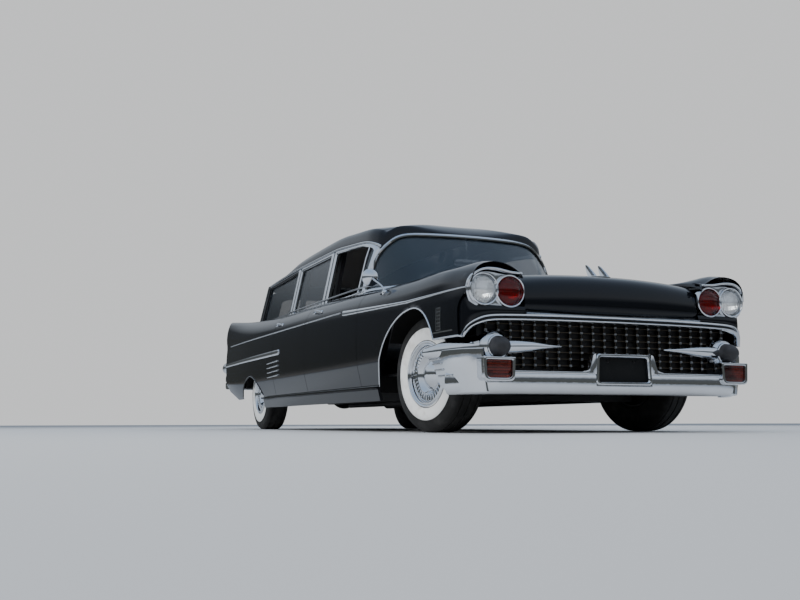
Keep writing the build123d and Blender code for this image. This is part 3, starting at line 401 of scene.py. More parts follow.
def arc(p: Point2, q: Point2, sag: float, steps: int) -> list[Point2]:
    """Points from p up to, but without, q on an arc that bulges to its left by sag."""
    if abs(sag) < 1e-6:
        return [(p[0] + (q[0] - p[0]) * i / steps, p[1] + (q[1] - p[1]) * i / steps) for i in range(steps)]
    du, dv = q[0] - p[0], q[1] - p[1]
    size = math.hypot(du, dv)
    nu, nv = -dv / size, du / size
    radius = (size * size / 4 + sag * sag) / (2 * abs(sag))
    sign = 1 if sag > 0 else -1
    cu = (p[0] + q[0]) / 2 + nu * (sag - sign * radius)
    cv = (p[1] + q[1]) / 2 + nv * (sag - sign * radius)
    start = math.atan2(p[1] - cv, p[0] - cu)
    turn = math.atan2(q[1] - cv, q[0] - cu) - start
    turn = (turn + math.pi) % (2 * math.pi) - math.pi
    return [(cu + radius * math.cos(start + turn * i / steps),
             cv + radius * math.sin(start + turn * i / steps))
            for i in range(steps)]


def rounded(points: Sequence[Sequence[float]], steps: int = 6) -> list[Point2]:
    """Outline with rounded corners.

    Args:
        points: Corners as (u, v) or (u, v, radius).
        steps: Points on each rounded corner.

    Returns:
        The closed outline without its first point repeated.
    """
    outline = []
    for i, corner in enumerate(points):
        here = np.array(corner[:2], float)
        before = np.array(points[i - 1][:2], float) - here
        after = np.array(points[(i + 1) % len(points)][:2], float) - here
        radius = corner[2] if len(corner) > 2 else 0
        if not radius:
            outline.append(tuple(here))
            continue
        a, b = np.linalg.norm(before), np.linalg.norm(after)
        reach = min(radius, a * 0.49, b * 0.49)
        start, end = here + before / a * reach, here + after / b * reach
        for k in range(steps + 1):
            t = k / steps
            outline.append(tuple(start * (1 - t) ** 2 + here * 2 * t * (1 - t) + end * t * t))
    return outline


def resample(points: Sequence[Sequence[float]], count: int, closed: bool = False) -> np.ndarray:
    """Evenly spaced points along a polyline."""
    line = np.array(points, float)
    if closed:
        line = np.vstack([line, line[:1]])
    along = np.concatenate([[0], np.cumsum(np.linalg.norm(np.diff(line, axis=0), axis=1))])
    where = np.linspace(0, along[-1], count + 1 if closed else count)
    result = np.stack([np.interp(where, along, line[:, k]) for k in range(line.shape[1])], axis=1)
    return result[:-1] if closed else result


def smooth_curve(points: Sequence[Sequence[float]], per_span: int = 8) -> np.ndarray:
    """Catmull-Rom curve through open control points."""
    line = np.array(points, float)
    line = np.vstack([2 * line[0] - line[1], line, 2 * line[-1] - line[-2]])
    found = []
    for i in range(1, len(line) - 2):
        p0, p1, p2, p3 = line[i - 1:i + 3]
        for k in range(per_span):
            t = k / per_span
            found.append(0.5 * (2 * p1 + (p2 - p0) * t + (2 * p0 - 5 * p1 + 4 * p2 - p3) * t * t
                                + (3 * p1 - p0 - 3 * p2 + p3) * t ** 3))
    return np.array([*found, line[-2]])


def spline(x: np.ndarray, knots: np.ndarray, values: np.ndarray) -> np.ndarray:
    """Smooth interpolation of each column of values, without overshoot past the end knots."""
    slopes = np.gradient(values, knots, axis=0)
    x = np.clip(x, knots[0], knots[-1])
    i = np.clip(np.searchsorted(knots, x) - 1, 0, len(knots) - 2)
    width = (knots[i + 1] - knots[i])[:, None]
    t = ((x - knots[i]) / (knots[i + 1] - knots[i]))[:, None]
    return ((2 * t ** 3 - 3 * t * t + 1) * values[i] + (t ** 3 - 2 * t * t + t) * width * slopes[i]
            + (3 * t * t - 2 * t ** 3) * values[i + 1] + (t ** 3 - t * t) * width * slopes[i + 1])


def grid(rows: Sequence[Sequence[Point3]], close_u: bool = False, close_v: bool = False) -> Mesh:
    """Quads over rows and columns of points."""
    points = np.asarray(rows)
    count, columns = points.shape[:2]
    faces = []
    for i in range(count if close_u else count - 1):
        for j in range(columns if close_v else columns - 1):
            a, b = i * columns + j, i * columns + (j + 1) % columns
            c, d = (i + 1) % count * columns + (j + 1) % columns, (i + 1) % count * columns + j
            faces.append((a, b, c, d))
    return [tuple(p) for p in points.reshape(-1, 3)], faces


def capped(rings: Sequence[Sequence[Point3]]) -> Mesh:
    """Closed tube over rings of points, with both ends filled."""
    verts, faces = grid(rings, False, True)
    n = len(rings[0])
    return verts, [*faces, tuple(range(n)), tuple(range(len(verts) - n, len(verts)))]


def slab(outline: Sequence[Point2], lift: Lift, low: float, high: float) -> Mesh:
    """Plate between two levels of a flat outline; lift turns (u, v, level) into a point."""
    n = len(outline)
    verts = [lift(u, v, w) for w in (low, high) for u, v in outline]
    faces = [tuple(range(n)), tuple(range(n, 2 * n))[::-1]]
    faces += [(i, (i + 1) % n, n + (i + 1) % n, n + i) for i in range(n)]
    return verts, faces


def lathe(profile: Sequence[Point2], centre: Point3, axis: Point3, steps: int = 48,
          closed: bool = False) -> Mesh:
    """Body of revolution from (distance along the axis, radius) points; zero radii become poles."""
    turn = Vector(axis).normalized().to_track_quat("X", "Z").to_matrix()
    base = Vector(centre)
    ring = []
    for k in range(steps):
        a = 2 * math.pi * k / steps
        ring.append([base + turn @ Vector((d, r * math.cos(a), r * math.sin(a))) for d, r in profile])
    return grid(ring, True, closed)


def sweep(path: Sequence[Point3], section: Sequence[Point2], up: Point3 | Sequence[Point3] = (0, 0, 1),
          closed: bool = False, scale: Callable[[float], Point2] | None = None) -> Mesh:
    """Carry a closed section along a path.

    Args:
        path: Points of the path.
        section: Outline as (sideways, upwards) offsets.
        up: One direction, or one for each point, that the section's second axis leans to.
        closed: Whether the path returns to its start.
        scale: Widths of the section, side and up, at a share of the path's length.

    Returns:
        A tube whose ends are capped unless it is closed.
    """
    line = np.array(path, float)
    count = len(line)
    ups = np.array(up, float)
    if ups.ndim == 1:
        ups = np.repeat(ups[None], count, 0)
    if closed:
        run = np.roll(line, -1, 0) - np.roll(line, 1, 0)
    else:
        run = np.gradient(line, axis=0)
    run /= np.linalg.norm(run, axis=1)[:, None]
    side = np.cross(run, ups)
    side /= np.linalg.norm(side, axis=1)[:, None]
    top = np.cross(side, run)
    rings = []
    for i in range(count):
        wide, tall = scale(i / (count - 1)) if scale else (1, 1)
        rings.append([line[i] + side[i] * a * wide + top[i] * b * tall for a, b in section])
    return grid(rings, True, True) if closed else capped(rings)


def circle(radius: float, steps: int = 12, squeeze: float = 1.0) -> list[Point2]:
    """Round or oval section."""
    return [(radius * math.cos(2 * math.pi * k / steps), radius * squeeze * math.sin(2 * math.pi * k / steps))
            for k in range(steps)]


def bead(width: float, height: float, depth: float = 0.004) -> list[Point2]:
    """Half-round moulding section: width across, height proud, depth let in."""
    return [(-width / 2, -depth), (width / 2, -depth), (width / 2, height * 0.25),
            (width * 0.34, height * 0.8), (width * 0.12, height), (-width * 0.12, height),
            (-width * 0.34, height * 0.8), (-width / 2, height * 0.25)]


def box(x0: float, x1: float, y0: float, y1: float, z0: float, z1: float) -> Mesh:
    """Plain block."""
    return slab([(x0, y0), (x1, y0), (x1, y1), (x0, y1)], lambda x, y, z: (x, y, z), z0, z1)


def circle_at(u: float, v: float, radius: float, steps: int = 32) -> np.ndarray:
    """Round outline about a point."""
    a = np.linspace(0, 2 * math.pi, steps, endpoint=False)
    return np.stack([u + radius * np.cos(a), v + radius * np.sin(a)], axis=1)


def scaled(outline: Sequence[Point2], share: float) -> np.ndarray:
    """Outline made larger or smaller about its middle."""
    line = np.asarray(outline, float)
    middle = line.mean(0)
    return middle + (line - middle) * share


def full_width(half: np.ndarray) -> np.ndarray:
    """Path across the car from its left half, which starts at the middle."""
    return np.vstack([half[::-1] * (-1, 1, 1), half[1:]])


def pane(outline: Sequence[Point2], lift: Lift, inset: float, wall: float,
         shares: Sequence[float] = (0.05, 0.4, 0.75, 1.0)) -> Mesh:
    """Solid pane of rings at shares of a flat outline, whose lift takes the depth last."""
    line = resample(outline, 96, True)
    levels = [(s, inset) for s in shares] + [(s, inset + wall) for s in shares[::-1]]
    return capped([[lift(*p, depth) for p in scaled(line, s)] for s, depth in levels])


def cut_plate(loops: Sequence[np.ndarray], lift: Lift, depth: float) -> Mesh:
    """Flat plate with holes.

    Args:
        loops: Outer outline, then the holes.
        lift: Turns (u, v, depth) into a point.
        depth: Thickness of the plate.

    Returns:
        The closed plate.
    """
    work = bmesh.new()
    for loop in loops:
        ring = [work.verts.new((u, v, 0)) for u, v in loop]
        for a, b in zip(ring, [*ring[1:], ring[0]]):
            work.edges.new((a, b))
    bmesh.ops.triangle_fill(work, use_beauty=True, edges=work.edges)
    work.verts.index_update()
    flat = [v.co.copy() for v in work.verts]
    faces = [tuple(v.index for v in f.verts) for f in work.faces]
    rim = [tuple(v.index for v in e.verts) for e in work.edges if len(e.link_faces) == 1]
    work.free()
    n = len(flat)
    verts = [lift(c.x, c.y, d) for d in (0.0, depth) for c in flat]
    sides = [(a, b, b + n, a + n) for a, b in rim]
    return verts, [*faces, *[tuple(i + n for i in f[::-1]) for f in faces], *sides]


def placed(mesh: Mesh, matrix: Matrix) -> Mesh:
    """A mesh moved by a matrix."""
    return [tuple(matrix @ Vector(v)) for v in mesh[0]], mesh[1]


def shifted(mesh: Mesh, by: Point3) -> Mesh:
    """A mesh moved by an offset."""
    return placed(mesh, Matrix.Translation(by))


def joined(*meshes: Mesh) -> Mesh:
    """Several meshes as one."""
    verts, faces = [], []
    for v, f in meshes:
        offset = len(verts)
        verts += list(v)
        faces += [tuple(i + offset for i in face) for face in f]
    return verts, faces


def flipped(mesh: Mesh) -> Mesh:
    """The same mesh on the car's other side."""
    verts, faces = mesh
    return [(-v[0], v[1], v[2]) for v in verts], [tuple(reversed(f)) for f in faces]


def both(mesh: Mesh) -> Mesh:
    """A mesh and its mirror image."""
    return joined(mesh, flipped(mesh))


class Side(Enum):
    """A side of the car, with the sign of its X."""

    LEFT = 1
    RIGHT = -1

    def of(self, mesh: Mesh) -> Mesh:
        """A left mesh put on this side."""
        return mesh if self is Side.LEFT else flipped(mesh)

    @property
    def tag(self) -> str:
        """Lower case name for pieces and bodies."""
        return self.name.lower()


class Shop:
    """Makes Blender objects of meshes, in the row frame."""

    @staticmethod
    def add(name: str, mesh: Mesh, finish: Finish, body: str = ROOT, replaces: Iterable[str] = (),
            thick: float = 0.0, bevel: float = 0.0, smooth: float = 32, levels: int = 0,
            extra: Sequence[Finish] = (), paint_by: Painter | None = None) -> bpy.types.Object:
        """Build one finished piece.

        Args:
            name: Name of the piece.
            mesh: Vertices in axle coordinates, and faces.
            finish: Its main finish, whose material the piece takes.
            body: CAD body that it rides on.
            replaces: CAD nodes that it stands for.
            thick: Wall thickness inwards of an open skin.
            bevel: Width of rounded edges.
            smooth: Largest angle in degrees that is shaded smooth.
            levels: Subdivision levels.
            extra: Further finishes, numbered from 1.
            paint_by: Gives the finish number of a face from its middle, in axle coordinates.

        Returns:
            The object, riding on its body.
        """
        data = bpy.data.meshes.new(name)
        data.from_pydata([(x, y - MID_Y, z) for x, y, z in mesh[0]], [], mesh[1])
        work = bmesh.new()
        work.from_mesh(data)
        bmesh.ops.remove_doubles(work, verts=work.verts, dist=2e-5)
        bmesh.ops.dissolve_degenerate(work, edges=work.edges, dist=1e-5)
        bmesh.ops.recalc_face_normals(work, faces=work.faces)
        work.to_mesh(data)
        work.free()
        piece = bpy.data.objects.new(name, data)
        bpy.context.scene.collection.objects.link(piece)
        for one in (finish, *extra):
            data.materials.append(one.material())
        if thick:
            shell = piece.modifiers.new("wall", "SOLIDIFY")
            shell.thickness, shell.offset, shell.use_even_offset = thick, -1, False
        if bevel:
            edges = piece.modifiers.new("edges", "BEVEL")
            edges.width, edges.segments = bevel, 2
            edges.limit_method, edges.angle_limit = "ANGLE", math.radians(35)
            edges.use_clamp_overlap = True
        if levels:
            fine = piece.modifiers.new("fine", "SUBSURF")
            fine.levels = fine.render_levels = levels
        if piece.modifiers:
            Shop.settle(piece)
        if paint_by:
            for face in piece.data.polygons:
                face.material_index = paint_by(face.center + Vector((0, MID_Y, 0)))
        piece.data.polygons.foreach_set("use_smooth", [True] * len(piece.data.polygons))
        piece.data.set_sharp_from_angle(angle=math.radians(smooth))
        return Shop.hand_over(piece, finish, body, replaces)

    @staticmethod
    def pair(name: str, mesh: Mesh, finish: Finish, body: str = ROOT, replaces: Iterable[str] = (),
             **options: float) -> None:
        """Build a left piece and its mirror image; "{}" in the names stands for the side."""
        for side in Side:
            Shop.add(name.format(side.tag), side.of(mesh), finish, body.format(side.tag),
                     [node.format(side.tag) for node in replaces], **options)

    @staticmethod
    def settle(piece: bpy.types.Object) -> None:
        """Turn what the modifiers show into the piece's own mesh."""
        graph = bpy.context.evaluated_depsgraph_get()
        settled = bpy.data.meshes.new_from_object(piece.evaluated_get(graph))
        settled.name = piece.name
        piece.modifiers.clear()
        piece.data = settled

    @staticmethod
    def hand_over(piece: bpy.types.Object, finish: Finish, body: str,
                  replaces: Iterable[str]) -> bpy.types.Object:
        """Give a piece its body and the nodes that it stands for."""
        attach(piece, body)
        for node in replaces:
            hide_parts(node)
        LOG.info("%s: %d faces on %s", piece.name, len(piece.data.polygons), body)
        return piece


# Shared shapes of the body

@dataclass
class BodySkin:
    """Outer surface of the left body side, from the lamps to the tail fins.

    Each row of `stations` holds y, then x and z of the foot, the crease, the waist, the
    crown, the inner top and the shelf inside the fin.
    """

    stations: tuple = (
        (-0.805, 0.900, 0.300, 0.935, 0.470, 0.940, 0.800, 0.905, 0.918, 0.628, 0.880, 0.620, 0.860),
        (-0.745, 0.910, 0.240, 0.950, 0.470, 0.957, 0.800, 0.902, 0.926, 0.640, 0.900, 0.630, 0.880),
        (-0.620, 0.922, 0.235, 0.966, 0.466, 0.969, 0.800, 0.900, 0.938, 0.655, 0.925, 0.650, 0.905),
        (-0.380, 0.928, 0.225, 0.976, 0.462, 0.976, 0.800, 0.899, 0.954, 0.663, 0.946, 0.658, 0.925),
        (0.000, 0.929, 0.212, 0.982, 0.458, 0.982, 0.802, 0.888, 0.962, 0.664, 0.957, 0.660, 0.935),
        (0.570, 0.930, 0.208, 0.986, 0.455, 0.985, 0.826, 0.876, 0.975, 0.664, 0.968, 0.660, 0.946),
        (1.170, 0.930, 0.208, 0.988, 0.452, 0.987, 0.845, 0.868, 1.000, 0.800, 1.006, 0.796, 0.985),
        (2.318, 0.930, 0.208, 0.988, 0.450, 0.987, 0.860, 0.866, 1.032, 0.800, 1.038, 0.796, 1.015),
        (3.235, 0.930, 0.208, 0.986, 0.450, 0.985, 0.868, 0.868, 1.044, 0.800, 1.050, 0.796, 1.028),
        (4.250, 0.926, 0.228, 0.978, 0.452, 0.976, 0.876, 0.888, 1.090, 0.842, 1.084, 0.800, 1.030),
        (5.140, 0.905, 0.400, 0.952, 0.480, 0.950, 0.885, 0.914, 1.172, 0.866, 1.160, 0.840, 1.030),
    )
    side_bulge: float = 0.010
    shoulder_bulge: float = 0.024
    brow_bulge: float = 0.040     # of the fender top over the lamps
    corners: tuple = (0.006, 0.05, 0.035, 0.03)   # fillets of the crease, waist, crown and inner top
    fine: int = 6
    arch_front: tuple = ((-0.392, 0.535), (-0.095, 0.752), (0.455, 0.470), (0.535, 0.300))
    arch_bulge: tuple = (0.062, 0.075)
    skirt_y: float = 3.962
    skirt_half: float = 0.420
    skirt_top: float = 0.520
    sill_top: float = 0.300
    front_low: float = 0.540

    def profiles(self, y: np.ndarray) -> np.ndarray:
        """Cross sections at several stations.

        Args:
            y: Stations along the car.

        Returns:
            Array of stations by profile points by (x, z), from the foot to the shelf.
        """
        table = np.array(self.stations)
        at = spline(np.asarray(y, float), table[:, 0], table[:, 1:])
        knots = at.reshape(-1, 6, 2)
        brow = np.clip((-0.45 - np.asarray(y, float)) / 0.30, 0, 1)[:, None]
        brow = brow * brow * (3 - 2 * brow)
        bulges = (0 * brow, self.side_bulge + 0 * brow, self.shoulder_bulge * (1 - 0.5 * brow),
                  0.004 + self.brow_bulge * brow, 0 * brow)
        cut = (0, *self.corners, 0)
        found = []
        for i in range(5):
            p, q = knots[:, i], knots[:, i + 1]
            along = q - p
            size = np.linalg.norm(along, axis=1)[:, None] + 1e-9
            out = np.stack([along[:, 1], -along[:, 0]], axis=1) / size
            start, end = np.minimum(cut[i] / size, 0.45), 1 - np.minimum(cut[i + 1] / size, 0.45)
            steps = 3 * self.fine if i in (0, 1, 2) else self.fine
            if i:
                corner = knots[:, i]
                before = found[-1]
                first = self._bowed(p, along, out, bulges[i], start)
                for k in range(1, self.fine):
                    t = k / self.fine
                    found.append(before * (1 - t) ** 2 + corner * 2 * t * (1 - t) + first * t * t)
            for k in range(steps + 1):
                found.append(self._bowed(p, along, out, bulges[i], start + (end - start) * k / steps))
        return np.stack(found, axis=1)

    @staticmethod
    def _bowed(p: np.ndarray, along: np.ndarray, out: np.ndarray, bulge: np.ndarray,
               t: np.ndarray) -> np.ndarray:
        """Points at share t of bowed spans."""
        return p + along * t + out * 4 * bulge * t * (1 - t)

    def inner_x(self, y: float) -> float:
        """X of the inner edge of the fender top at a station."""
        table = np.array(self.stations)
        return float(spline(np.array([float(y)]), table[:, 0], table[:, [9]])[0, 0])

    def on(self, y: float, z: float, proud: float = 0.0) -> Point3:
        """Point on the side below the crown, stood off by proud."""
        line = self.profiles(np.array([float(y)]))[0]
        line = line[:int(np.argmax(np.diff(line[:, 1]) <= 0)) or len(line)]
        x, above, below = (float(np.interp(z + dz, line[:, 1], line[:, 0])) for dz in (0, 0.01, -0.01))
        slope = (above - below) / 0.02
        size = math.hypot(1, slope)
        return x + proud / size, y, z - proud * slope / size

    def lowest(self, y: np.ndarray) -> np.ndarray:
        """Height of the lower cut edge over the wheels, or below everything where there is none."""
        front = np.array(self.front_opening())
        low = np.interp(y, front[:, 0], front[:, 1], left=self.front_low, right=0)
        rear = np.array(self.rear_opening())
        return np.maximum(low, np.interp(y, rear[:, 0], rear[:, 1], left=0, right=0))

    def front_opening(self, steps: int = 24) -> list[Point2]:
        """Edge of the front wheel opening from its front foot to its rear foot."""
        a, b, c, d = self.arch_front
        return [(a[0] - 0.002, self.front_low), *arc(a, b, self.arch_bulge[0], steps),
                *arc(b, c, self.arch_bulge[1], steps), *arc(c, d, 0, 4), d]

    def rear_opening(self, steps: int = 20) -> list[Point2]:
        """Edge of the low rear wheel opening."""
        y, half, low = self.skirt_y, self.skirt_half, self.sill_top + 0.03
        return [(y - half - 0.02, 0.2), (y - half - 0.012, self.sill_top),
                *arc((y - half, low), (y, self.skirt_top), 0.042, steps),
                *arc((y, self.skirt_top), (y + half, low), 0.042, steps), (y + half, low),
                (y + half + 0.02, 0.2)]

    def patch(self, y0: Callable[[float], float] | float, y1: float, low: float = -1.0, high: float = 2.0,
              step: float = 0.018, rows: tuple[int, int] = (0, -1)) -> np.ndarray:
        """Grid of surface points on the left side.

        Args:
            y0: Front edge, or a function of the share of the profile.
            y1: Rear edge.
            low: Lowest height of the panel.
            high: Greatest height of the panel.
            step: Distance between columns.
            rows: First and last profile point.

        Returns:
            Array of profile rows by stations by (x, y, z).
        """
        openings = [p[0] for p in (*self.front_opening(), *self.rear_opening())]
        front = y0 if callable(y0) else lambda share: y0
        rear_most = max(front(s) for s in (0, 0.5, 1))
        base = np.unique(np.round([*np.linspace(rear_most, y1, max(2, int(abs(y1 - rear_most) / step))),
                                   *[y for y in openings if rear_most < y < y1]], 4))
        count = self.profiles(np.array([y1])).shape[1]
        chosen = range(count)[rows[0]:rows[1]] if rows[1] != -1 else range(rows[0], count)
        lead_steps = 12
        grid_rows = []
        for j in chosen:
            first = front(j / (count - 1))
            lead = np.linspace(first, rear_most, lead_steps, endpoint=False) if callable(y0) else []
            y = np.array([*lead, *base])
            lines = self.profiles(y)
            floor = np.maximum(self.lowest(y), low)
            x, z = lines[:, j, 0].copy(), lines[:, j, 1].copy()
            for i in np.nonzero((z < floor) & (z < 0.8))[0]:
                x[i] = np.interp(floor[i], lines[i, :40, 1], lines[i, :40, 0])
                z[i] = floor[i]
            z = np.minimum(z, high)
            grid_rows.append(np.stack([x, y, z], axis=1))
        return np.array(grid_rows)


@dataclass
class House:
    """Glasshouse between the belt and the drip rail: a ruled surface between two plan outlines.

    Rows of `plan` hold x and y at the belt, x and y at the drip rail and the bulge of the
    side that starts there, for the left half from the windscreen's middle to the tail's.
    """

    plan: tuple = (
        (0.0, 0.640, 0.0, 1.092, 0.018),
        (0.540, 0.720, 0.520, 1.152, 0.050),
        (0.834, 1.170, 0.719, 1.380, 0.0),
        (0.838, 2.118, 0.729, 2.118, 0.0),
        (0.836, 3.145, 0.727, 3.145, 0.0),
        (0.800, 4.330, 0.691, 4.290, 0.060),
        (0.560, 4.985, 0.500, 4.735, 0.0),
    )
    belt: float = 0.990
    drip: float = 1.488
    steps: int = 24

    def outline(self, level: int) -> list[Point2]:
        """Left half of the plan at the belt (0) or the drip rail (1)."""
        points = [(row[2 * level], row[2 * level + 1], row[4]) for row in self.plan]
        line = []
        for (x0, y0, sag), (x1, y1, _) in zip(points, points[1:]):
            line += arc((x0, y0), (x1, y1), -sag, self.steps)
        return [*line, points[-1][:2]]

    def at_height(self, z: float, inset: float = 0.0) -> np.ndarray:
        """Left half of the plan outline at a height, let in by inset."""
        share = (z - self.belt) / (self.drip - self.belt)
        low, high = np.array(self.outline(0)), np.array(self.outline(1))
        line = low + (high - low) * share
        if inset:
            run = np.gradient(line, axis=0)
            run /= np.linalg.norm(run, axis=1)[:, None]
            line = line + np.stack([-run[:, 1], run[:, 0]], axis=1) * inset
        return line

    def side_x(self, y: float, z: float, inset: float = 0.0) -> float:
        """X of the left side at a point of the side view."""
        line = self.at_height(z, inset)
        return float(np.interp(y, line[:, 1], line[:, 0]))

    def lift(self, y: float, z: float, inset: float = 0.0) -> Point3:
        """Point of the side view on the left side."""
        return self.side_x(y, z, inset), y, z


SKIN = BodySkin()
HOUSE = House()


# Sub-assemblies

@dataclass
class BodyPanels:
    """Painted panels of the body sides, with their solid backs and shut lines."""

    shut: float = 0.006           # shut line round a door
    door_front: float = 0.870
    door_mid: float = 2.118
    door_rear: float = 3.085
    tail: float = 5.140
    skin_wall: float = 0.004
    door_wall: float = 0.030
    brow_lip: float = -0.815
    side_front: float = -0.690

    def lead(self, share: float) -> float:
        """Front edge of the fender at a share of its profile: under the lamps it stays back."""
        if share < 0.42:
            return self.side_front
        rise = min(1.0, (share - 0.42) / 0.12)
        return self.side_front + (self.brow_lip - self.side_front) * rise * rise * (3 - 2 * rise)

    @staticmethod
    def nose() -> Mesh:
        """Front of a fender, between the lamp bezel and the bar over the grille."""
        low = ((0.60, 0.655), (0.80, 0.650), (0.86, 0.638), (0.92, 0.610), (0.945, 0.585), (0.964, 0.540))
        high = ((0.60, 0.702), (0.86, 0.704), (0.93, 0.716), (0.950, 0.770), (0.964, 0.810))
        plan = resample(smooth_curve([(0.600, -0.790), (0.850, -0.786), (0.920, -0.764), (0.952, -0.715),
                                      (0.962, -0.660)]), 48)
        shares = np.linspace(0, 1, 12)
        rows = []
        for x, y in plan:
            z0, z1 = (float(np.interp(x, *np.array(table).T)) for table in (low, high))
            rows.append([(x, y - 0.008 * math.sin(math.pi * t), z0 + (z1 - z0) * t) for t in shares])
        return grid(rows)

    def spans(self) -> list[tuple[str, float, float]]:
        """Names and limits along the car of the side's panels, from the front to the rear."""
        ends = (-1.0, self.door_front, self.door_mid, self.door_rear, 6.0)
        half = self.shut / 2
        return [(name, y0 + half, y1 - half)
                for name, y0, y1 in zip((ROOT, "front_door", "rear_door", ROOT), ends, ends[1:])]

    def build(self) -> None:
        """Make the fenders, doors, sills and quarters."""
        half = self.shut / 2
        fender = grid(SKIN.patch(self.lead, self.door_front - half, SKIN.sill_top - 0.1))
        Shop.add("fenders", both(fender), Look.paint, replaces=["front_fenders"], thick=self.skin_wall,
                 smooth=50)
        Shop.add("fender_noses", both(self.nose()), Look.paint, thick=self.skin_wall, smooth=60)
        sill = grid(SKIN.patch(SKIN.arch_front[3][0] + 0.012, SKIN.skirt_y - SKIN.skirt_half - 0.022,
                               high=SKIN.sill_top, rows=(0, 22)))
        Shop.add("rocker_panels", both(sill), Look.paint, replaces=["sills"], thick=0.012)
        quarter = grid(SKIN.patch(self.door_rear + half, self.tail, SKIN.sill_top + half))
        Shop.add("quarters", both(quarter), Look.paint, replaces=["rear_quarters"], thick=self.skin_wall,
                 smooth=50)
        for which, y0, y1 in self.spans()[1:3]:
            door = grid(SKIN.patch(y0, y1, SKIN.sill_top + self.shut))
            body = f"{which}_{{}}"
            Shop.pair(f"{body}_skin", door, Look.paint, body, [body], thick=self.door_wall, smooth=50)


@dataclass
class Roof:
    """Long crowned roof.

    Rows of the lower edge hold x, y, z and the height of the flank that rolls up from it.
    """

    header: tuple = ((0.0, 1.092, 1.492, 0.004), (0.200, 1.100, 1.492, 0.010), (0.349, 1.116, 1.492, 0.025),
                     (0.456, 1.133, 1.488, 0.045), (0.534, 1.140, 1.472, 0.060), (0.600, 1.148, 1.446, 0.075),
                     (0.661, 1.160, 1.396, 0.090), (0.683, 1.173, 1.376, 0.100))
    rail: tuple = ((0.683, 1.173, 1.376, 0.100), (0.700, 1.205, 1.394, 0.104), (0.722, 1.310, 1.424, 0.102),
                   (0.728, 1.456, 1.444, 0.100), (0.729, 1.744, 1.466, 0.098), (0.729, 1.995, 1.484, 0.097),
                   (0.729, 2.300, 1.488, 0.094), (0.727, 3.145, 1.488, 0.070), (0.715, 3.600, 1.487, 0.030),
                   (0.700, 4.000, 1.482, 0.012), (0.691, 4.280, 1.474, 0.008))
    tail: tuple = ((0.691, 4.280, 1.474, 0.008), (0.640, 4.550, 1.478, 0.008), (0.500, 4.735, 1.480, 0.010),
                   (0.250, 4.765, 1.482, 0.010), (0.0, 4.770, 1.482, 0.010))
    crown: tuple = ((1.45, 1.615), (1.9, 1.655), (2.7, 1.700), (3.6, 1.700), (4.35, 1.610))
    roll: float = 0.05
    wall: float = 0.022
    lining_drop: float = 0.030

    def surface(self, drop: float = 0.0) -> Mesh:
        """Roof skin, lowered by drop and let in by a little less."""
        parts = [resample(smooth_curve(part, 10), count)
                 for part, count in ((self.header, 44), (self.rail, 120), (self.tail, 36))]
        edge = np.vstack([parts[0][:-1], parts[1][:-1], parts[2]])
        spine = np.clip(edge[:, 1], self.crown[0][0], self.crown[-1][0])
        knots = np.array(self.crown)
        top = spline(spine, knots[:, 0], knots[:, 1:])[:, 0] - drop
        shares = np.concatenate([np.linspace(0, 0.09, 9), np.linspace(0.12, 1, 20)])
        rows = []
        for (x, y, z, flank), middle, crown in zip(edge, spine, top):
            reach = math.hypot(x, y - middle)
            turn = np.minimum(shares * reach / self.roll, 1)
            rise = flank * np.sqrt(np.clip(1 - (1 - turn) ** 2, 0, 1))
            height = z + rise + (crown - z - flank) * (1 - (1 - shares) ** 2)
            rows.append(np.stack([x * (1 - shares), y + (middle - y) * shares, height], axis=1))
        return grid(rows)

    def build(self) -> None:
        """Make the roof, its lining and the drip moulding."""
        Shop.add("roof_panel", both(self.surface()), Look.paint, replaces=["roof"], thick=self.wall,
                 smooth=60)
        Shop.add("roof_lining", both(self.surface(self.lining_drop)), Look.lining, thick=0.004, smooth=60)
        half = np.vstack([resample(smooth_curve(self.rail, 10), 90)[:-1, :3],
                          resample(smooth_curve(self.tail, 10), 60)[:, :3]])
        line = np.vstack([half, half[-2::-1] * (-1, 1, 1)])
        run = np.gradient(line, axis=0)
        out = np.stack([run[:, 1], -run[:, 0], 0 * run[:, 0]], axis=1)
        Shop.add("drip_moulding", sweep(line, bead(0.020, 0.012, 0.012), out), Look.chrome)


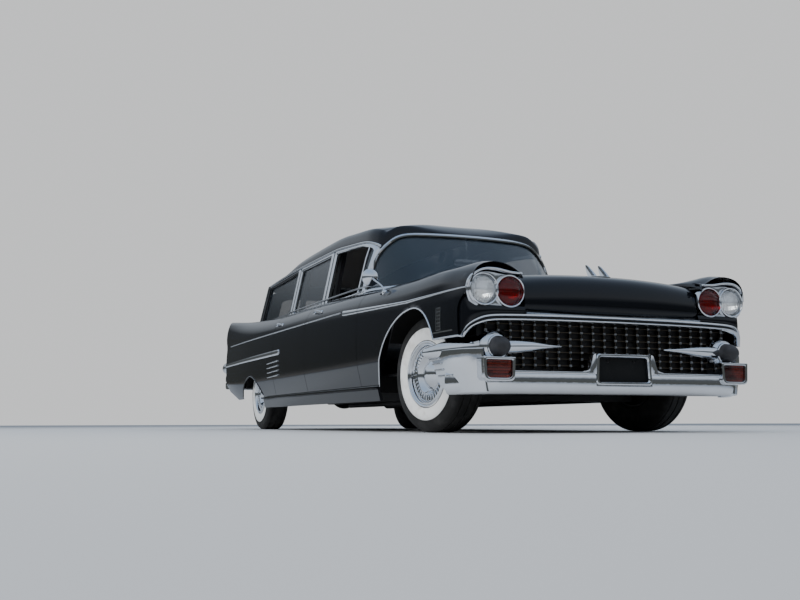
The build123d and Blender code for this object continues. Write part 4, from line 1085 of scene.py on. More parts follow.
@dataclass
class Glazing:
    """Window openings, their bright frames and panes."""

    front_frame: tuple = ((1.190, 0.985), (2.104, 0.985), (2.104, 1.480), (1.995, 1.476), (1.744, 1.458),
                          (1.456, 1.436), (1.310, 1.416), (1.230, 1.396), (1.196, 1.370), (1.198, 1.200),
                          (1.184, 1.020))
    front: tuple = ((1.222, 1.034), (2.036, 1.034), (2.036, 1.452), (1.985, 1.451), (1.744, 1.436),
                    (1.456, 1.414), (1.318, 1.390), (1.262, 1.374), (1.224, 1.350), (1.216, 1.200),
                    (1.212, 1.060))
    rear_frame: tuple = ((2.124, 0.985), (3.070, 0.985), (3.070, 1.480), (2.124, 1.480))
    rear: tuple = ((2.192, 1.056), (3.012, 1.056), (3.012, 1.448), (2.192, 1.448))
    quarter_frame: tuple = ((3.092, 0.985), (4.345, 0.985), (4.306, 1.470), (3.092, 1.480))
    quarter: tuple = ((3.158, 1.080), (4.296, 1.080), (4.276, 1.440), (3.158, 1.448))
    corner: float = 0.020
    frame_wall: float = 0.026
    pane_inset: float = 0.017
    pane_wall: float = 0.006
    vent_bar: tuple = ((1.305, 1.042), (1.289, 1.380))

    def corners(self, outline: Sequence[Point2]) -> np.ndarray:
        """Rounded corners of an outline, with points between them."""
        points = np.array(rounded([(y, z, self.corner) for y, z in outline]))
        ahead = np.roll(points, -1, 0)
        shares = np.arange(4)[None, :, None] / 4
        return (points[:, None] + (ahead - points)[:, None] * shares).reshape(-1, 2)

    def band(self, outer: Sequence[Point2], inner: Sequence[Point2]) -> Mesh:
        """Closed bright frame between two outlines of the side view, on the left side."""
        a, b = self.corners(outer), self.corners(inner)
        rings = [[HOUSE.lift(y, z, inset) for y, z in a * (1 - share) + b * share]
                 for share, inset in ((0, self.frame_wall), (0, 0.0), (0.15, -0.004), (0.5, -0.0052),
                                      (0.85, -0.004), (1, 0.0), (1, self.frame_wall))]
        return grid(rings, True, True)

    def pane(self, outline: Sequence[Point2]) -> Mesh:
        """Solid pane inside an outline of the side view, on the left side."""
        return pane(outline, HOUSE.lift, self.pane_inset, self.pane_wall)

    def build(self) -> None:
        """Make every side window."""
        for which, frame, window in (("front", self.front_frame, self.front),
                                     ("rear", self.rear_frame, self.rear)):
            band, seal = self.band(frame, window), self.seal(window)
            for side in Side:
                body = f"{which}_door_{side.tag}"
                Shop.add(f"{body}_window_frame", side.of(band), Look.chrome, body, smooth=40)
                Shop.add(f"{body}_window_seal", side.of(seal), Look.seal, body)
        Shop.add("quarter_frames", both(self.band(self.quarter_frame, self.quarter)), Look.chrome, smooth=40,
                 extra=[Look.paint], paint_by=lambda c: int(c.y > 3.175))
        Shop.add("quarter_seals", both(self.seal(self.quarter)), Look.seal)
        Shop.add("quarter_panes", both(self.pane(self.corners(self.quarter))), Look.glass,
                 replaces=["quarter_glass"])
        rear = self.pane(self.corners(self.rear))
        for side in Side:
            Shop.add(f"rear_door_{side.tag}_pane", side.of(rear), Look.glass, f"rear_door_{side.tag}",
                     [f"rear_glass_{side.tag}"])
            self.vent(side)
        low, high = self.front[0][1], self.front[6][1]
        main = [(self.bar_y(low, 0.008), low), *self.front[1:6], (self.bar_y(high, 0.008), high)]
        Shop.add("front_door_left_pane", self.pane(rounded(main)), Look.glass, "front_door_left",
                 ["front_glass_left"])

    def bar_y(self, z: float, behind: float = 0.0) -> float:
        """Line of the vent window's bar at a height."""
        (y0, z0), (y1, z1) = self.vent_bar
        return y0 + (y1 - y0) * (z - z0) / (z1 - z0) + behind

    def vent(self, side: Side) -> None:
        """Hinged vent window ahead of the front door's window, with its bar."""
        low, high = self.front[0][1], 1.384
        body = f"front_door_{side.tag}"
        glass = [(self.bar_y(low), low), (self.bar_y(high), high), *self.front[7:], self.front[0]]
        Shop.add(f"{body}_vent_pane", side.of(self.pane(glass)), Look.glass, body,
                 ["front_glass_right"] if side is Side.RIGHT else [])
        path = [HOUSE.lift(self.bar_y(z, 0.004), z, 0.012)
                for z in np.linspace(low - 0.004, high + 0.006, 12)]
        bar = sweep(path, [(0.007, -0.010), (0.007, 0.010), (0.003, 0.015), (-0.003, 0.015), (-0.007, 0.010),
                           (-0.007, -0.010)], (1, 0, 0))
        Shop.add(f"{body}_vent_bar", side.of(bar), Look.chrome, body)

    def seal(self, window: tuple) -> Mesh:
        """Rubber round a pane, set inside its frame."""
        line = resample(self.corners(window), 140, True)
        path = np.array([HOUSE.lift(y, z, self.pane_inset - 0.003) for y, z in line])
        return sweep(path, circle(0.005, 6), (1, 0, 0), True)


@dataclass
class Windscreen:
    """Wrap-around windscreen in its bright surround."""

    foot: tuple = ((0.0, 1.016), (0.6, 1.016), (0.9, 1.013), (1.0, 1.003))
    side: tuple = ((1.0, 1.003), (0.985, 1.030), (0.95, 1.110), (0.917, 1.200), (0.875, 1.270),
                   (0.812, 1.335), (0.735, 1.390), (0.625, 1.446), (0.53, 1.474), (0.44, 1.488),
                   (0.33, 1.491), (0.0, 1.492))
    border: float = 0.030
    inset: float = 0.017
    wall: float = 0.006
    columns: int = 120

    def outlines(self) -> tuple[np.ndarray, np.ndarray]:
        """Outer and inner half outline of the surround, as share of the plan line and height."""
        outer = resample(np.vstack([smooth_curve(self.foot), smooth_curve(self.side)[1:]]), 140)
        middle = np.array((0.0, 1.254))
        return outer, middle + (outer - middle) * (1 - self.border / 1.05, 1 - self.border / 0.24)

    @staticmethod
    def lift(u: float, z: float, inset: float = 0.0) -> Point3:
        """Point on the windscreen from its plan share and height."""
        line = HOUSE.at_height(z, inset)
        at = np.arange(len(line)) / (2 * HOUSE.steps)
        return float(np.interp(u, at, line[:, 0])), float(np.interp(u, at, line[:, 1])), z

    def build(self) -> None:
        """Make the pane, its rubber and its surround."""
        outer, inner = self.outlines()
        rings = []
        for line, inset in ((outer, 0.030), (outer, 0.0), (outer * 0.8 + inner * 0.2, -0.007),
                            (outer * 0.35 + inner * 0.65, -0.008), (inner, 0.002), (inner, 0.030)):
            rings.append([self.lift(u, z, inset) for u, z in line])
        half = grid(rings, True)
        Shop.add("windscreen_bright_surround", both(half), Look.chrome, replaces=["windscreen_surround"],
                 smooth=45)
        seal = sweep([self.lift(u, z, self.inset - 0.004) for u, z in inner], circle(0.006, 6), (0, -1, 0.3))
        Shop.add("windscreen_seal", both(seal), Look.seal)
        sheets = []
        for inset in (self.inset, self.inset + self.wall):
            rows = []
            for share in np.linspace(0, 1, self.columns // 2):
                u, low, high = self.edge(inner, share)
                rows.append([self.lift(u, h, inset) for h in np.linspace(low, high, 16)])
            sheets.append(rows)
        shell = np.concatenate([np.array(sheets[0]), np.array(sheets[1])[:, ::-1]], axis=1)
        Shop.add("windscreen_pane", both(grid(shell, False, True)), Look.glass, replaces=["windscreen"],
                 smooth=40)

    @staticmethod
    def edge(line: np.ndarray, share: float) -> tuple[float, float, float]:
        """Plan position and the lowest and highest glass there, at a share of the half width."""
        widest = int(np.argmax(line[:, 0]))
        u = line[widest, 0] * share
        low = float(np.interp(u, line[:widest + 1, 0], line[:widest + 1, 1]))
        high = float(np.interp(u, line[widest:, 0][::-1], line[widest:, 1][::-1]))
        return u, low, max(high, low + 1e-4)


GLAZING = Glazing()


@dataclass
class Cowl:
    """Top panel between the hood and the windscreen, with its wipers and inlet slots."""

    rear_of_hood: float = 0.566
    height: float = 0.986
    foot: float = 1.019

    def build(self) -> None:
        """Make the panel, the dark boxes that paint the shade in its inlet slots, and the wipers."""
        count = 72
        inner = [np.array(WINDSCREEN.lift(u, self.foot, -0.006)) for u in np.linspace(0, 2.14, count)]
        edge = [(0.0, self.rear_of_hood), (0.652, self.rear_of_hood)]
        edge += [(SKIN.inner_x(y) - 0.003, y) for y in np.linspace(self.rear_of_hood + 0.01, 1.20, 30)]
        outer = resample(edge, count)
        rows = []
        for t in np.linspace(0, 1, 16):
            z = self.height + (self.foot - self.height) * t ** 3
            rows.append([(*(outer[i] * (1 - t) + inner[i][:2] * t), z) for i in range(count)])
        Shop.add("cowl_top", both(grid(rows)), Look.paint, replaces=["cowl"], thick=0.012, smooth=50)
        bulkhead = box(-0.64, 0.64, 0.600, 0.614, 0.372, 0.968)
        Shop.add("bulkhead", bulkhead, Look.inner_paint, bevel=0.003)
        # the inlet slots are dark boxes on the panel: painted shade of their openings
        slot = box(-0.004, 0.004, 0.585, 0.628, self.height - 0.002, self.height + 0.0012)
        slots = LATTICE.make(slot, {"Columns": 26, "Rows": 1, "Pitch": (0.026, 0.0, 0.0)})
        Shop.add("cowl_slots", slots, Look.dark)
        Shop.pair("wiper_{}", self.wiper(), Look.dull, bevel=0.001)

    def wiper(self) -> Mesh:
        """Arm and blade of one wiper, parked along the foot of the glass."""
        foot = WINDSCREEN.lift(0.55, 1.018, -0.02)
        tip = WINDSCREEN.lift(1.62, 1.062, -0.012)
        mid = (np.array(foot) + np.array(tip)) / 2 + (0, -0.012, 0.004)
        arm = sweep(smooth_curve([foot, mid, tip], 10), bead(0.009, 0.005, 0.002), (0, -0.6, 0.8))
        line = [WINDSCREEN.lift(u, 1.046 + 0.012 * u, -0.009) for u in np.linspace(0.8, 2.0, 16)]
        blade = sweep(line, bead(0.006, 0.008, 0.004), (0, -1, 0.2))
        post = lathe([(0, 0), (0, 0.014), (0.02, 0.011), (0.024, 0)], np.array(foot) - (0, 0, 0.012),
                     (0, -0.3, 1), 20)
        return joined(arm, blade, post)


@dataclass
class Hood:
    """Broad hood that rolls down over its nose, with the pair of raked fins on it."""

    profile: tuple = (
        (-0.786, 0.672), (-0.807, 0.696), (-0.812, 0.740), (-0.806, 0.800), (-0.786, 0.855), (-0.748, 0.893),
        (-0.690, 0.916), (-0.592, 0.932), (-0.300, 0.950), (0.000, 0.964), (0.300, 0.977), (0.558, 0.986),
    )
    bow: float = 0.026
    drop_front: float = 0.034
    drop_rear: float = 0.005
    wall: float = 0.020
    fin_x: float = 0.045

    def half(self, y: float) -> float:
        """Half width at a station."""
        return SKIN.inner_x(y) - 0.010 - 0.022 * min(max((-0.60 - y) / 0.2, 0), 1)

    def point(self, share: float, y: float, z: float) -> Point3:
        """Point at a share of the half width."""
        near = min(max((0.1 - y) / 0.9, 0), 1)
        drop = (self.drop_rear + (self.drop_front - self.drop_rear) * near) * abs(share) ** 2.2
        lift = min(max((z - 0.70) / 0.2, 0), 1)
        bow = self.bow * share * share * min(max((-0.35 - y) / 0.4, 0), 1)
        return share * self.half(y), y + bow, z - drop * lift

    def build(self) -> None:
        """Make the lid, its inner brace and the fins."""
        line = resample(smooth_curve(self.profile, 14), 130)
        shares = np.sin(np.linspace(-math.pi / 2, math.pi / 2, 75))
        rows = [[self.point(s, y, z) for y, z in line] for s in shares]
        Shop.add("hood_panel", grid(rows), Look.paint, "hood", ["hood"], thick=self.wall, smooth=50)
        brace = [(x, y, 0.935 + 0.028 * (y + 0.5)) for x, y in ((0.10, -0.50), (0.42, 0.0), (0.55, 0.48))]
        channel = [(-0.03, 0.0), (0.03, 0.0), (0.022, -0.016), (-0.022, -0.016)]
        Shop.add("hood_brace", both(sweep(smooth_curve(brace, 10), channel)), Look.inner_paint, "hood")
        Shop.add("hood_fins", joined(*[self.fin(s * self.fin_x) for s in (-1, 1)], self.base()), Look.chrome,
                 "hood", ["hood_ornament"], smooth=40)

    def fin(self, x: float) -> Mesh:
        """One raked fin, thick at its foot and thin at its top."""
        outline = smooth_curve([(-0.676, 0.924), (-0.650, 0.950), (-0.606, 0.988), (-0.580, 1.004),
                                (-0.572, 0.998), (-0.584, 0.964), (-0.604, 0.930)], 6)
        outline = [*outline, (-0.64, 0.922)]
        rings = []
        for off, share in ((-0.0045, 0.86), (-0.006, 1.0), (0.006, 1.0), (0.0045, 0.86)):
            places = zip(outline, scaled(outline, share))
            rings.append([(x + off * (1.2 - 9 * (z - 0.93)), *p) for (_, z), p in places])
        return capped(rings)

    def base(self) -> Mesh:
        """Low plate under the fins."""
        return capped([[(share * u, -0.632 + share * v, 0.928 + 0.10 * share * v + lift)
                        for u, v in circle(0.072, 40, 0.075 / 0.072)]
                       for lift, share in ((-0.012, 1.0), (-0.001, 1.0), (0.002, 0.86), (0.003, 0.4))])


@dataclass
class FrontBumper:
    """Bright bumper: blade, lamp pods, bullets with rubber tips, wings and plate frame."""

    blade_path: tuple = ((0.0, -0.862), (0.30, -0.860), (0.60, -0.850), (0.78, -0.828), (0.90, -0.742),
                         (0.958, -0.640), (0.984, -0.560))
    cheek_plan: tuple = ((0.880, -0.800), (0.945, -0.745), (0.975, -0.660), (0.990, -0.560), (0.992, -0.450),
                         (0.990, -0.330))
    cheek_rear: tuple = ((0.205, -0.600), (0.216, -0.586), (0.250, -0.500), (0.297, -0.430), (0.361, -0.425),
                         (0.397, -0.405), (0.423, -0.363), (0.448, -0.334), (0.470, -0.330))
    bar_spans: tuple = ((0.443, -0.334, -0.448), (0.421, -0.363, -0.500), (0.393, -0.405, -0.522),
                        (0.358, -0.425, -0.535), (0.323, -0.466, -0.621))
    section: tuple = ((-0.052, 0.338), (-0.030, 0.345), (-0.010, 0.343), (0.000, 0.334), (0.005, 0.318),
                      (0.007, 0.290), (0.006, 0.262), (0.002, 0.238), (-0.008, 0.221), (-0.026, 0.213),
                      (-0.048, 0.216), (-0.054, 0.230))
    low_section: tuple = ((-0.052, 0.284), (-0.010, 0.288), (0.004, 0.284), (0.006, 0.262), (0.002, 0.238),
                          (-0.008, 0.221), (-0.026, 0.213), (-0.048, 0.216), (-0.054, 0.230))
    bullet: tuple = (0.784, -0.735, 0.474)
    level: float = 0.275          # height of the blade's path
    notch: Point2 = (0.184, 0.200)  # where the tall ends start and the low middle stops
    tip_y: float = -0.903
    plate_half: float = 0.170
    screws: tuple = ((-0.0889, 0.405), (0.0889, 0.405))  # holes of the plate's back, as x and z

    def build(self) -> None:
        """Make every bright piece and the rubber."""
        path = resample(smooth_curve([(*p, self.level) for p in self.blade_path], 12), 90)
        whole = full_width(path)
        start, stop = self.notch
        tall, low = ([(d, z - self.level) for d, z in table] for table in (self.section, self.low_section))
        ends = both(sweep(path[path[:, 0] > start], tall, (0, 0, 1)))
        middle = sweep(whole[np.abs(whole[:, 0]) < stop], low, (0, 0, 1))
        Shop.add("bumper_blade", joined(ends, middle), Look.chrome, replaces=["front_bumper"], smooth=40)
        lip = path[(path[:, 0] > 0.24) & (path[:, 0] < 0.70)] + (0, -0.001, 0.060)
        Shop.add("bumper_lip", both(sweep(lip, bead(0.012, 0.008), (0, -0.2, 1))), Look.chrome)
        Shop.add("bumper_pods", both(joined(self.pod(), self.horn())), Look.chrome, bevel=0.006, smooth=40)
        Shop.add("bumper_bullets", both(self.bullets()), Look.chrome, smooth=30)
        Shop.add("bumper_rubber_tips", both(self.tip()), Look.tip, replaces=["bumper_tips"], smooth=60)
        Shop.add("bumper_end_bars", both(self.bars()), Look.chrome, bevel=0.002)
        frame, back, screws = self.plate()
        shoulder = [(0.188, 0.446, 0.004), (0.206, 0.440, 0.01), (0.232, 0.352, 0.02), (0.280, 0.343, 0.004),
                    (0.186, 0.330)]
        wings = slab(rounded(shoulder, 5), lambda x, z, d: (x, -0.868 + d, z), 0.0, 0.040)
        Shop.add("plate_frame", joined(frame, both(wings)), Look.chrome, bevel=0.003)
        Shop.add("plate_back", back, Look.void, bevel=0.002)
        Shop.add("plate_screw_rings", screws, Look.dark)
        Shop.add("bumper_irons", both(box(0.31, 0.39, -0.810, -0.640, 0.240, 0.320)), Look.frame, bevel=0.004)

    def pod(self) -> Mesh:
        """Block under each bullet that holds a lamp, with a U rim round the lens."""
        outline = rounded([(0.704, 0.414), (0.710, 0.284, 0.03), (0.895, 0.284, 0.03), (0.902, 0.414)], 6)
        hole = rounded([(0.722, 0.400, 0.006), (0.727, 0.300, 0.024), (0.878, 0.300, 0.024),
                        (0.883, 0.400, 0.006)], 6)
        rings = [[(x, y, z) for x, z in resample(line, 80, True)] for line, y in
                 ((outline, -0.720), (outline, -0.858), (outline, -0.864), (hole, -0.864), (hole, -0.842),
                  (hole, -0.840))]
        return capped(rings)

    def cheek_x(self, y: float, z: float) -> float:
        """How far out the bumper's end reaches at a station and height; it tucks in downwards."""
        plan = smooth_curve(self.cheek_plan)
        return float(np.interp(y, plan[:, 1], plan[:, 0])) - 0.030 * max(0.0, (0.44 - z) / 0.22) ** 1.3

    def horn(self) -> Mesh:
        """Upright cheek that carries the bumper's end round to the wheel opening."""
        rows = []
        for z in np.linspace(0.222, 0.466, 30):
            rear = float(np.interp(z, *np.array(self.cheek_rear).T))
            line = [(self.cheek_x(y, z), y, z) for y in np.linspace(-0.800, rear, 40)]
            rows.append([*line, *[(x - 0.014, y, z) for x, y, z in line[::-1]]])
        return capped(rows)

    def bullets(self) -> Mesh:
        """Bullet shells with their collars, inner cones and outer wings."""
        x, y, z = self.bullet
        shell = lathe([(-0.20, 0.0), (-0.20, 0.050), (-0.12, 0.082), (-0.05, 0.097), (0.010, 0.098),
                       (0.045, 0.089), (0.062, 0.077), (0.071, 0.0650), (0.080, 0.0640), (0.082, 0.059),
                       (0.078, 0.055), (0.078, 0.0)],
                      (x, y, z), (0, -1, 0), 64)
        inner = self.cone((x - 0.02, y - 0.034, z), (0.356, -0.770, 0.487),
                          (0.044, 0.040, 0.030, 0.014, 0.004))
        outer = self.cone((x + 0.01, y - 0.020, z), (1.008, -0.345, 0.462),
                          (0.076, 0.074, 0.066, 0.054, 0.028))
        return joined(shell, inner, outer)

    @staticmethod
    def cone(start: Point3, end: Point3, radii: Sequence[float]) -> Mesh:
        """Tapering bar that bows forward between two points."""
        a, b = np.array(start), np.array(end)
        ease = np.linspace(0, 1, len(radii))
        path = [a + (b - a) * t + np.array((0, -0.030 * math.sin(math.pi * t), 0))
                for t in np.linspace(0, 1, 32)]
        return sweep(path, circle(1.0, 28), (0, 0, 1), False,
                     lambda t: (float(np.interp(t, ease, radii)),) * 2)

    def tip(self) -> Mesh:
        """Rubber tip on a bullet."""
        x, y, z = self.bullet
        start = y - 0.0785
        length = start - self.tip_y
        dome = [(length * math.sin(a), 0.0575 * math.cos(a) ** 0.8) for a in np.linspace(0, math.pi / 2, 16)]
        profile = [(0.0, 0.0), *[(d, max(r, 0.0)) for d, r in dome[:-1]], (length, 0.0)]
        return lathe(profile, (x, start, z), (0, -1, 0), 48)

    def bars(self) -> Mesh:
        """Short stacked bars on the cheeks."""
        made = []
        for z, rear, front in self.bar_spans:
            path = [(self.cheek_x(y, z), y, z) for y in np.linspace(front, rear, 10)]
            made.append(sweep(path, bead(0.013, 0.009, 0.004), (1, 0, 0)))
        return joined(*made)

    def plate(self) -> tuple[Mesh, Mesh, Mesh]:
        """Raised frame, dark backing with two holes' rings."""
        half = self.plate_half

        def outline(grow: float, radius: float) -> np.ndarray:
            corners = [(-half - grow, 0.290 - grow, radius), (half + grow, 0.290 - grow, radius),
                       (half - 0.008 + grow, 0.425 + grow, radius),
                       (-half + 0.008 - grow, 0.425 + grow, radius)]
            return resample(rounded(corners, 6), 96, True)

        rings = [[(x, y, z) for x, z in outline(grow, radius)] for grow, radius, y in
                 ((0.022, 0.024, -0.800), (0.022, 0.024, -0.866), (0.018, 0.022, -0.872),
                  (0.006, 0.014, -0.872), (0.0, 0.012, -0.864), (0.0, 0.012, -0.800))]
        frame = grid(rings, True, True)
        back = cut_plate([outline(0.002, 0.012), *[circle_at(x, z, 0.0035) for x, z in self.screws]],
                         lambda x, z, d: (x, -0.8285 - d, z), 0.0075)
        ring = [(0, 0.0036), (0, 0.0075), (0.0022, 0.007), (0.0026, 0.0036)]
        rings = [lathe(ring, (x, -0.836, z), (0, -1, 0), 24, True) for x, z in self.screws]
        return frame, back, joined(*rings)


@dataclass
class Grille:
    """Egg-crate behind a bright bar whose ends curl down."""

    columns: int = 22
    rows: int = 7
    pitch: tuple = (0.078, 0.0, 0.038)
    middle: float = 0.496
    front: float = -0.735
    bar_path: tuple = ((0.0, -0.826, 0.645), (0.40, -0.824, 0.643), (0.70, -0.820, 0.638),
                       (0.829, -0.812, 0.631), (0.895, -0.795, 0.613), (0.936, -0.765, 0.585),
                       (0.958, -0.740, 0.548), (0.962, -0.728, 0.532))

    def build(self) -> None:
        """Make the lattice, its studs and the bar."""
        dx, _, dz = self.pitch
        blades = joined(box(-dx / 2, dx / 2, 0.0, 0.028, -0.0022, 0.0022),
                        box(-0.0022, 0.0022, 0.003, 0.028, -dz / 2, dz / 2))
        counts = {"Columns": self.columns, "Rows": self.rows, "Pitch": self.pitch}
        for name, cell, finish, nodes in (("grille_lattice", blades, Look.bronze, ["grille"]),
                                          ("grille_studs", self.stud(), Look.dull, [])):
            made = shifted(LATTICE.make(cell, counts), (0, self.front, self.middle))
            Shop.add(name, self.bounded(made), finish, replaces=nodes)
        # dark sheet just behind the lattice: painted shade seen through its openings
        Shop.add("grille_backing", box(-0.86, 0.86, -0.706, -0.700, 0.34, 0.640), Look.dark)
        legs = both(box(0.32, 0.38, -0.717, -0.60, 0.30, 0.386))
        Shop.add("grille_legs", legs, Look.frame)
        path = resample(smooth_curve(self.bar_path, 12), 90)
        whole = full_width(path)
        section = [(-0.030, -0.0195), (-0.004, -0.0195), (0.003, -0.016), (0.004, -0.010), (-0.002, -0.006),
                   (-0.012, -0.004), (-0.012, 0.004), (-0.002, 0.006), (0.004, 0.010), (0.003, 0.016),
                   (-0.004, 0.0195), (-0.030, 0.0195)]
        Shop.add("grille_bar_bright", sweep(whole, section, self.leans(whole), False, self.taper),
                 Look.chrome, replaces=["grille_bar"], smooth=30)
        groove = sweep(whole[3:-3], [(-0.013, -0.005), (-0.0085, -0.005), (-0.0085, 0.005), (-0.013, 0.005)],
                       self.leans(whole[3:-3]))
        Shop.add("grille_bar_groove", groove, Look.dark)
        hem = sweep([(x, -0.802, 0.667) for x in np.linspace(-0.60, 0.60, 40)], bead(0.010, 0.010, 0.006),
                    (0, -1, 0))
        Shop.add("nose_hem", hem, Look.chrome)

    @staticmethod
    def taper(share: float) -> Point2:
        """Widths of the bar along its length."""
        edge = min(share, 1 - share)
        return 1.0, 0.55 + 0.45 * min(edge / 0.08, 1)

    @staticmethod
    def leans(line: np.ndarray) -> np.ndarray:
        """Up directions that follow the bar round its curled ends."""
        run = np.gradient(line, axis=0)
        run /= np.linalg.norm(run, axis=1)[:, None]
        out = np.stack([np.sign(line[:, 0]) * np.clip((np.abs(line[:, 0]) - 0.80) / 0.16, 0, 1),
                        -np.ones(len(line)), 0 * line[:, 0]], axis=1)
        return np.cross(run, -out)

    def stud(self) -> Mesh:
        """Small faceted stud on a crossing."""
        turns = math.pi * (np.arange(4) / 2 + 0.25)
        return capped([[(r * math.cos(a), y, r * math.sin(a)) for a in turns]
                       for r, y in ((0.0105, 0.004), (0.0105, -0.003), (0.005, -0.009))])

    def bounded(self, mesh: Mesh) -> Mesh:
        """Leave out what stands where the lamp pods do."""
        verts, faces = mesh

        def in_pod(face: tuple) -> bool:
            return min(abs(verts[i][0]) for i in face) > 0.672 and max(verts[i][2] for i in face) < 0.575

        keep = [f for f in faces if not in_pod(f)]
        used = sorted({i for f in keep for i in f})
        number = {old: new for new, old in enumerate(used)}
        return [verts[i] for i in used], [tuple(number[i] for i in f) for f in keep]


@dataclass
class HeadLamps:
    """Twin lamps on each side in deep bright bezels under the brows."""

    centres: tuple = ((0.693, 0.786), (0.856, 0.792))
    bowl: float = 0.0765
    outline: tuple = ((0.608, 0.790, 0.02), (0.622, 0.842, 0.03), (0.655, 0.874, 0.03), (0.783, 0.906, 0.06),
                      (0.893, 0.890, 0.05), (0.944, 0.838, 0.03), (0.956, 0.790, 0.04), (0.930, 0.704, 0.05),
                      (0.856, 0.690, 0.03), (0.776, 0.698, 0.03), (0.693, 0.690, 0.03), (0.628, 0.716, 0.05))

    def build(self) -> None:
        """Make the bezels, reflectors and lenses."""
        loops = [resample(rounded(self.outline, 8), 160, True),
                 *[circle_at(x, z, self.bowl, 56) for x, z in self.centres]]
        plate = cut_plate(loops, lambda x, z, d: (x, -0.742 - d, z), 0.040)
        Shop.add("lamp_plates", both(plate), Look.chrome, replaces=["lamp_bezels"], bevel=0.003, smooth=40)
        rims, bowls, clear, red = [], [], [], []
        for i, (x, z) in enumerate(self.centres):
            rims.append(lathe([(0.0, 0.0765), (0.0, 0.0925), (0.012, 0.0935), (0.019, 0.0915),
                               (0.022, 0.0875), (0.020, 0.0840), (0.012, 0.0815), (0.006, 0.0785)],
                              (x, -0.778, z), (0, -1, 0), 72, True))
            bowls.append(lathe([(-0.050, 0.0), (-0.048, 0.024), (-0.030, 0.052), (0.0, 0.0745),
                                (0.003, 0.0765), (-0.006, 0.0765), (-0.040, 0.060), (-0.056, 0.020),
                                (-0.056, 0.0)],
                               (x, -0.770, z), (0, -1, 0), 48))
            dome = [(0.0, 0.0), (0.0, 0.0725), (0.010, 0.0728),
                    *[(0.010 + 0.019 * math.sin(a), 0.0722 * math.cos(a))
                    for a in np.linspace(0.15, math.pi / 2 - 0.02, 10)], (0.029, 0.0)]
            (red if i == 0 else clear).append(lathe(dome, (x, -0.772, z), (0, -1, 0), 56))
        Shop.add("lamp_rims", both(joined(*rims)), Look.chrome, smooth=35)
        Shop.add("lamp_reflectors", both(joined(*bowls)), Look.chrome, smooth=50)
        Shop.add("head_lenses", both(joined(*clear)), Look.clear, replaces=["lamps"], smooth=50)
        Shop.add("inner_red_lenses", both(joined(*red)), Look.red, smooth=50)
        self.brow()
        pod = rounded([(0.724, 0.399, 0.004), (0.729, 0.302, 0.022), (0.876, 0.302, 0.022),
                       (0.881, 0.399, 0.004)], 6)
        lens = slab(pod, lambda x, z, d: (x, -0.838 - d, z), 0.0, 0.014)
        ribs = joined(*[box(0.730, 0.875, -0.8545, -0.850, z - 0.002, z + 0.002)
                        for z in np.linspace(0.325, 0.385, 5)])
        Shop.add("pod_lenses", both(joined(lens, ribs)), Look.amber, bevel=0.002)

    def brow(self) -> None:
        """Bright strip over both lamps and the painted hood of the brow above it."""
        line = smooth_curve([(0.625, -0.806, 0.886), (0.660, -0.809, 0.888), (0.708, -0.812, 0.891),
                             (0.788, -0.815, 0.903), (0.858, -0.814, 0.902), (0.912, -0.808, 0.880),
                             (0.944, -0.796, 0.842), (0.954, -0.786, 0.800)], 8)
        strip = sweep(line, bead(0.014, 0.008, 0.014), (0, -1, 0))
        Shop.add("lamp_brow_strips", both(strip), Look.chrome)
        rows = []
        for t in np.linspace(0, 1, 10):
            rows.append([(x + (0.004 if x > 0.9 else 0) * t, y + 0.085 * t,
                          z + 0.018 * math.sin(t * math.pi / 2) + 0.004)
                         for x, y, z in resample(line, 60)])
        Shop.add("lamp_brows", both(grid(rows)), Look.paint, thick=0.005, smooth=60)


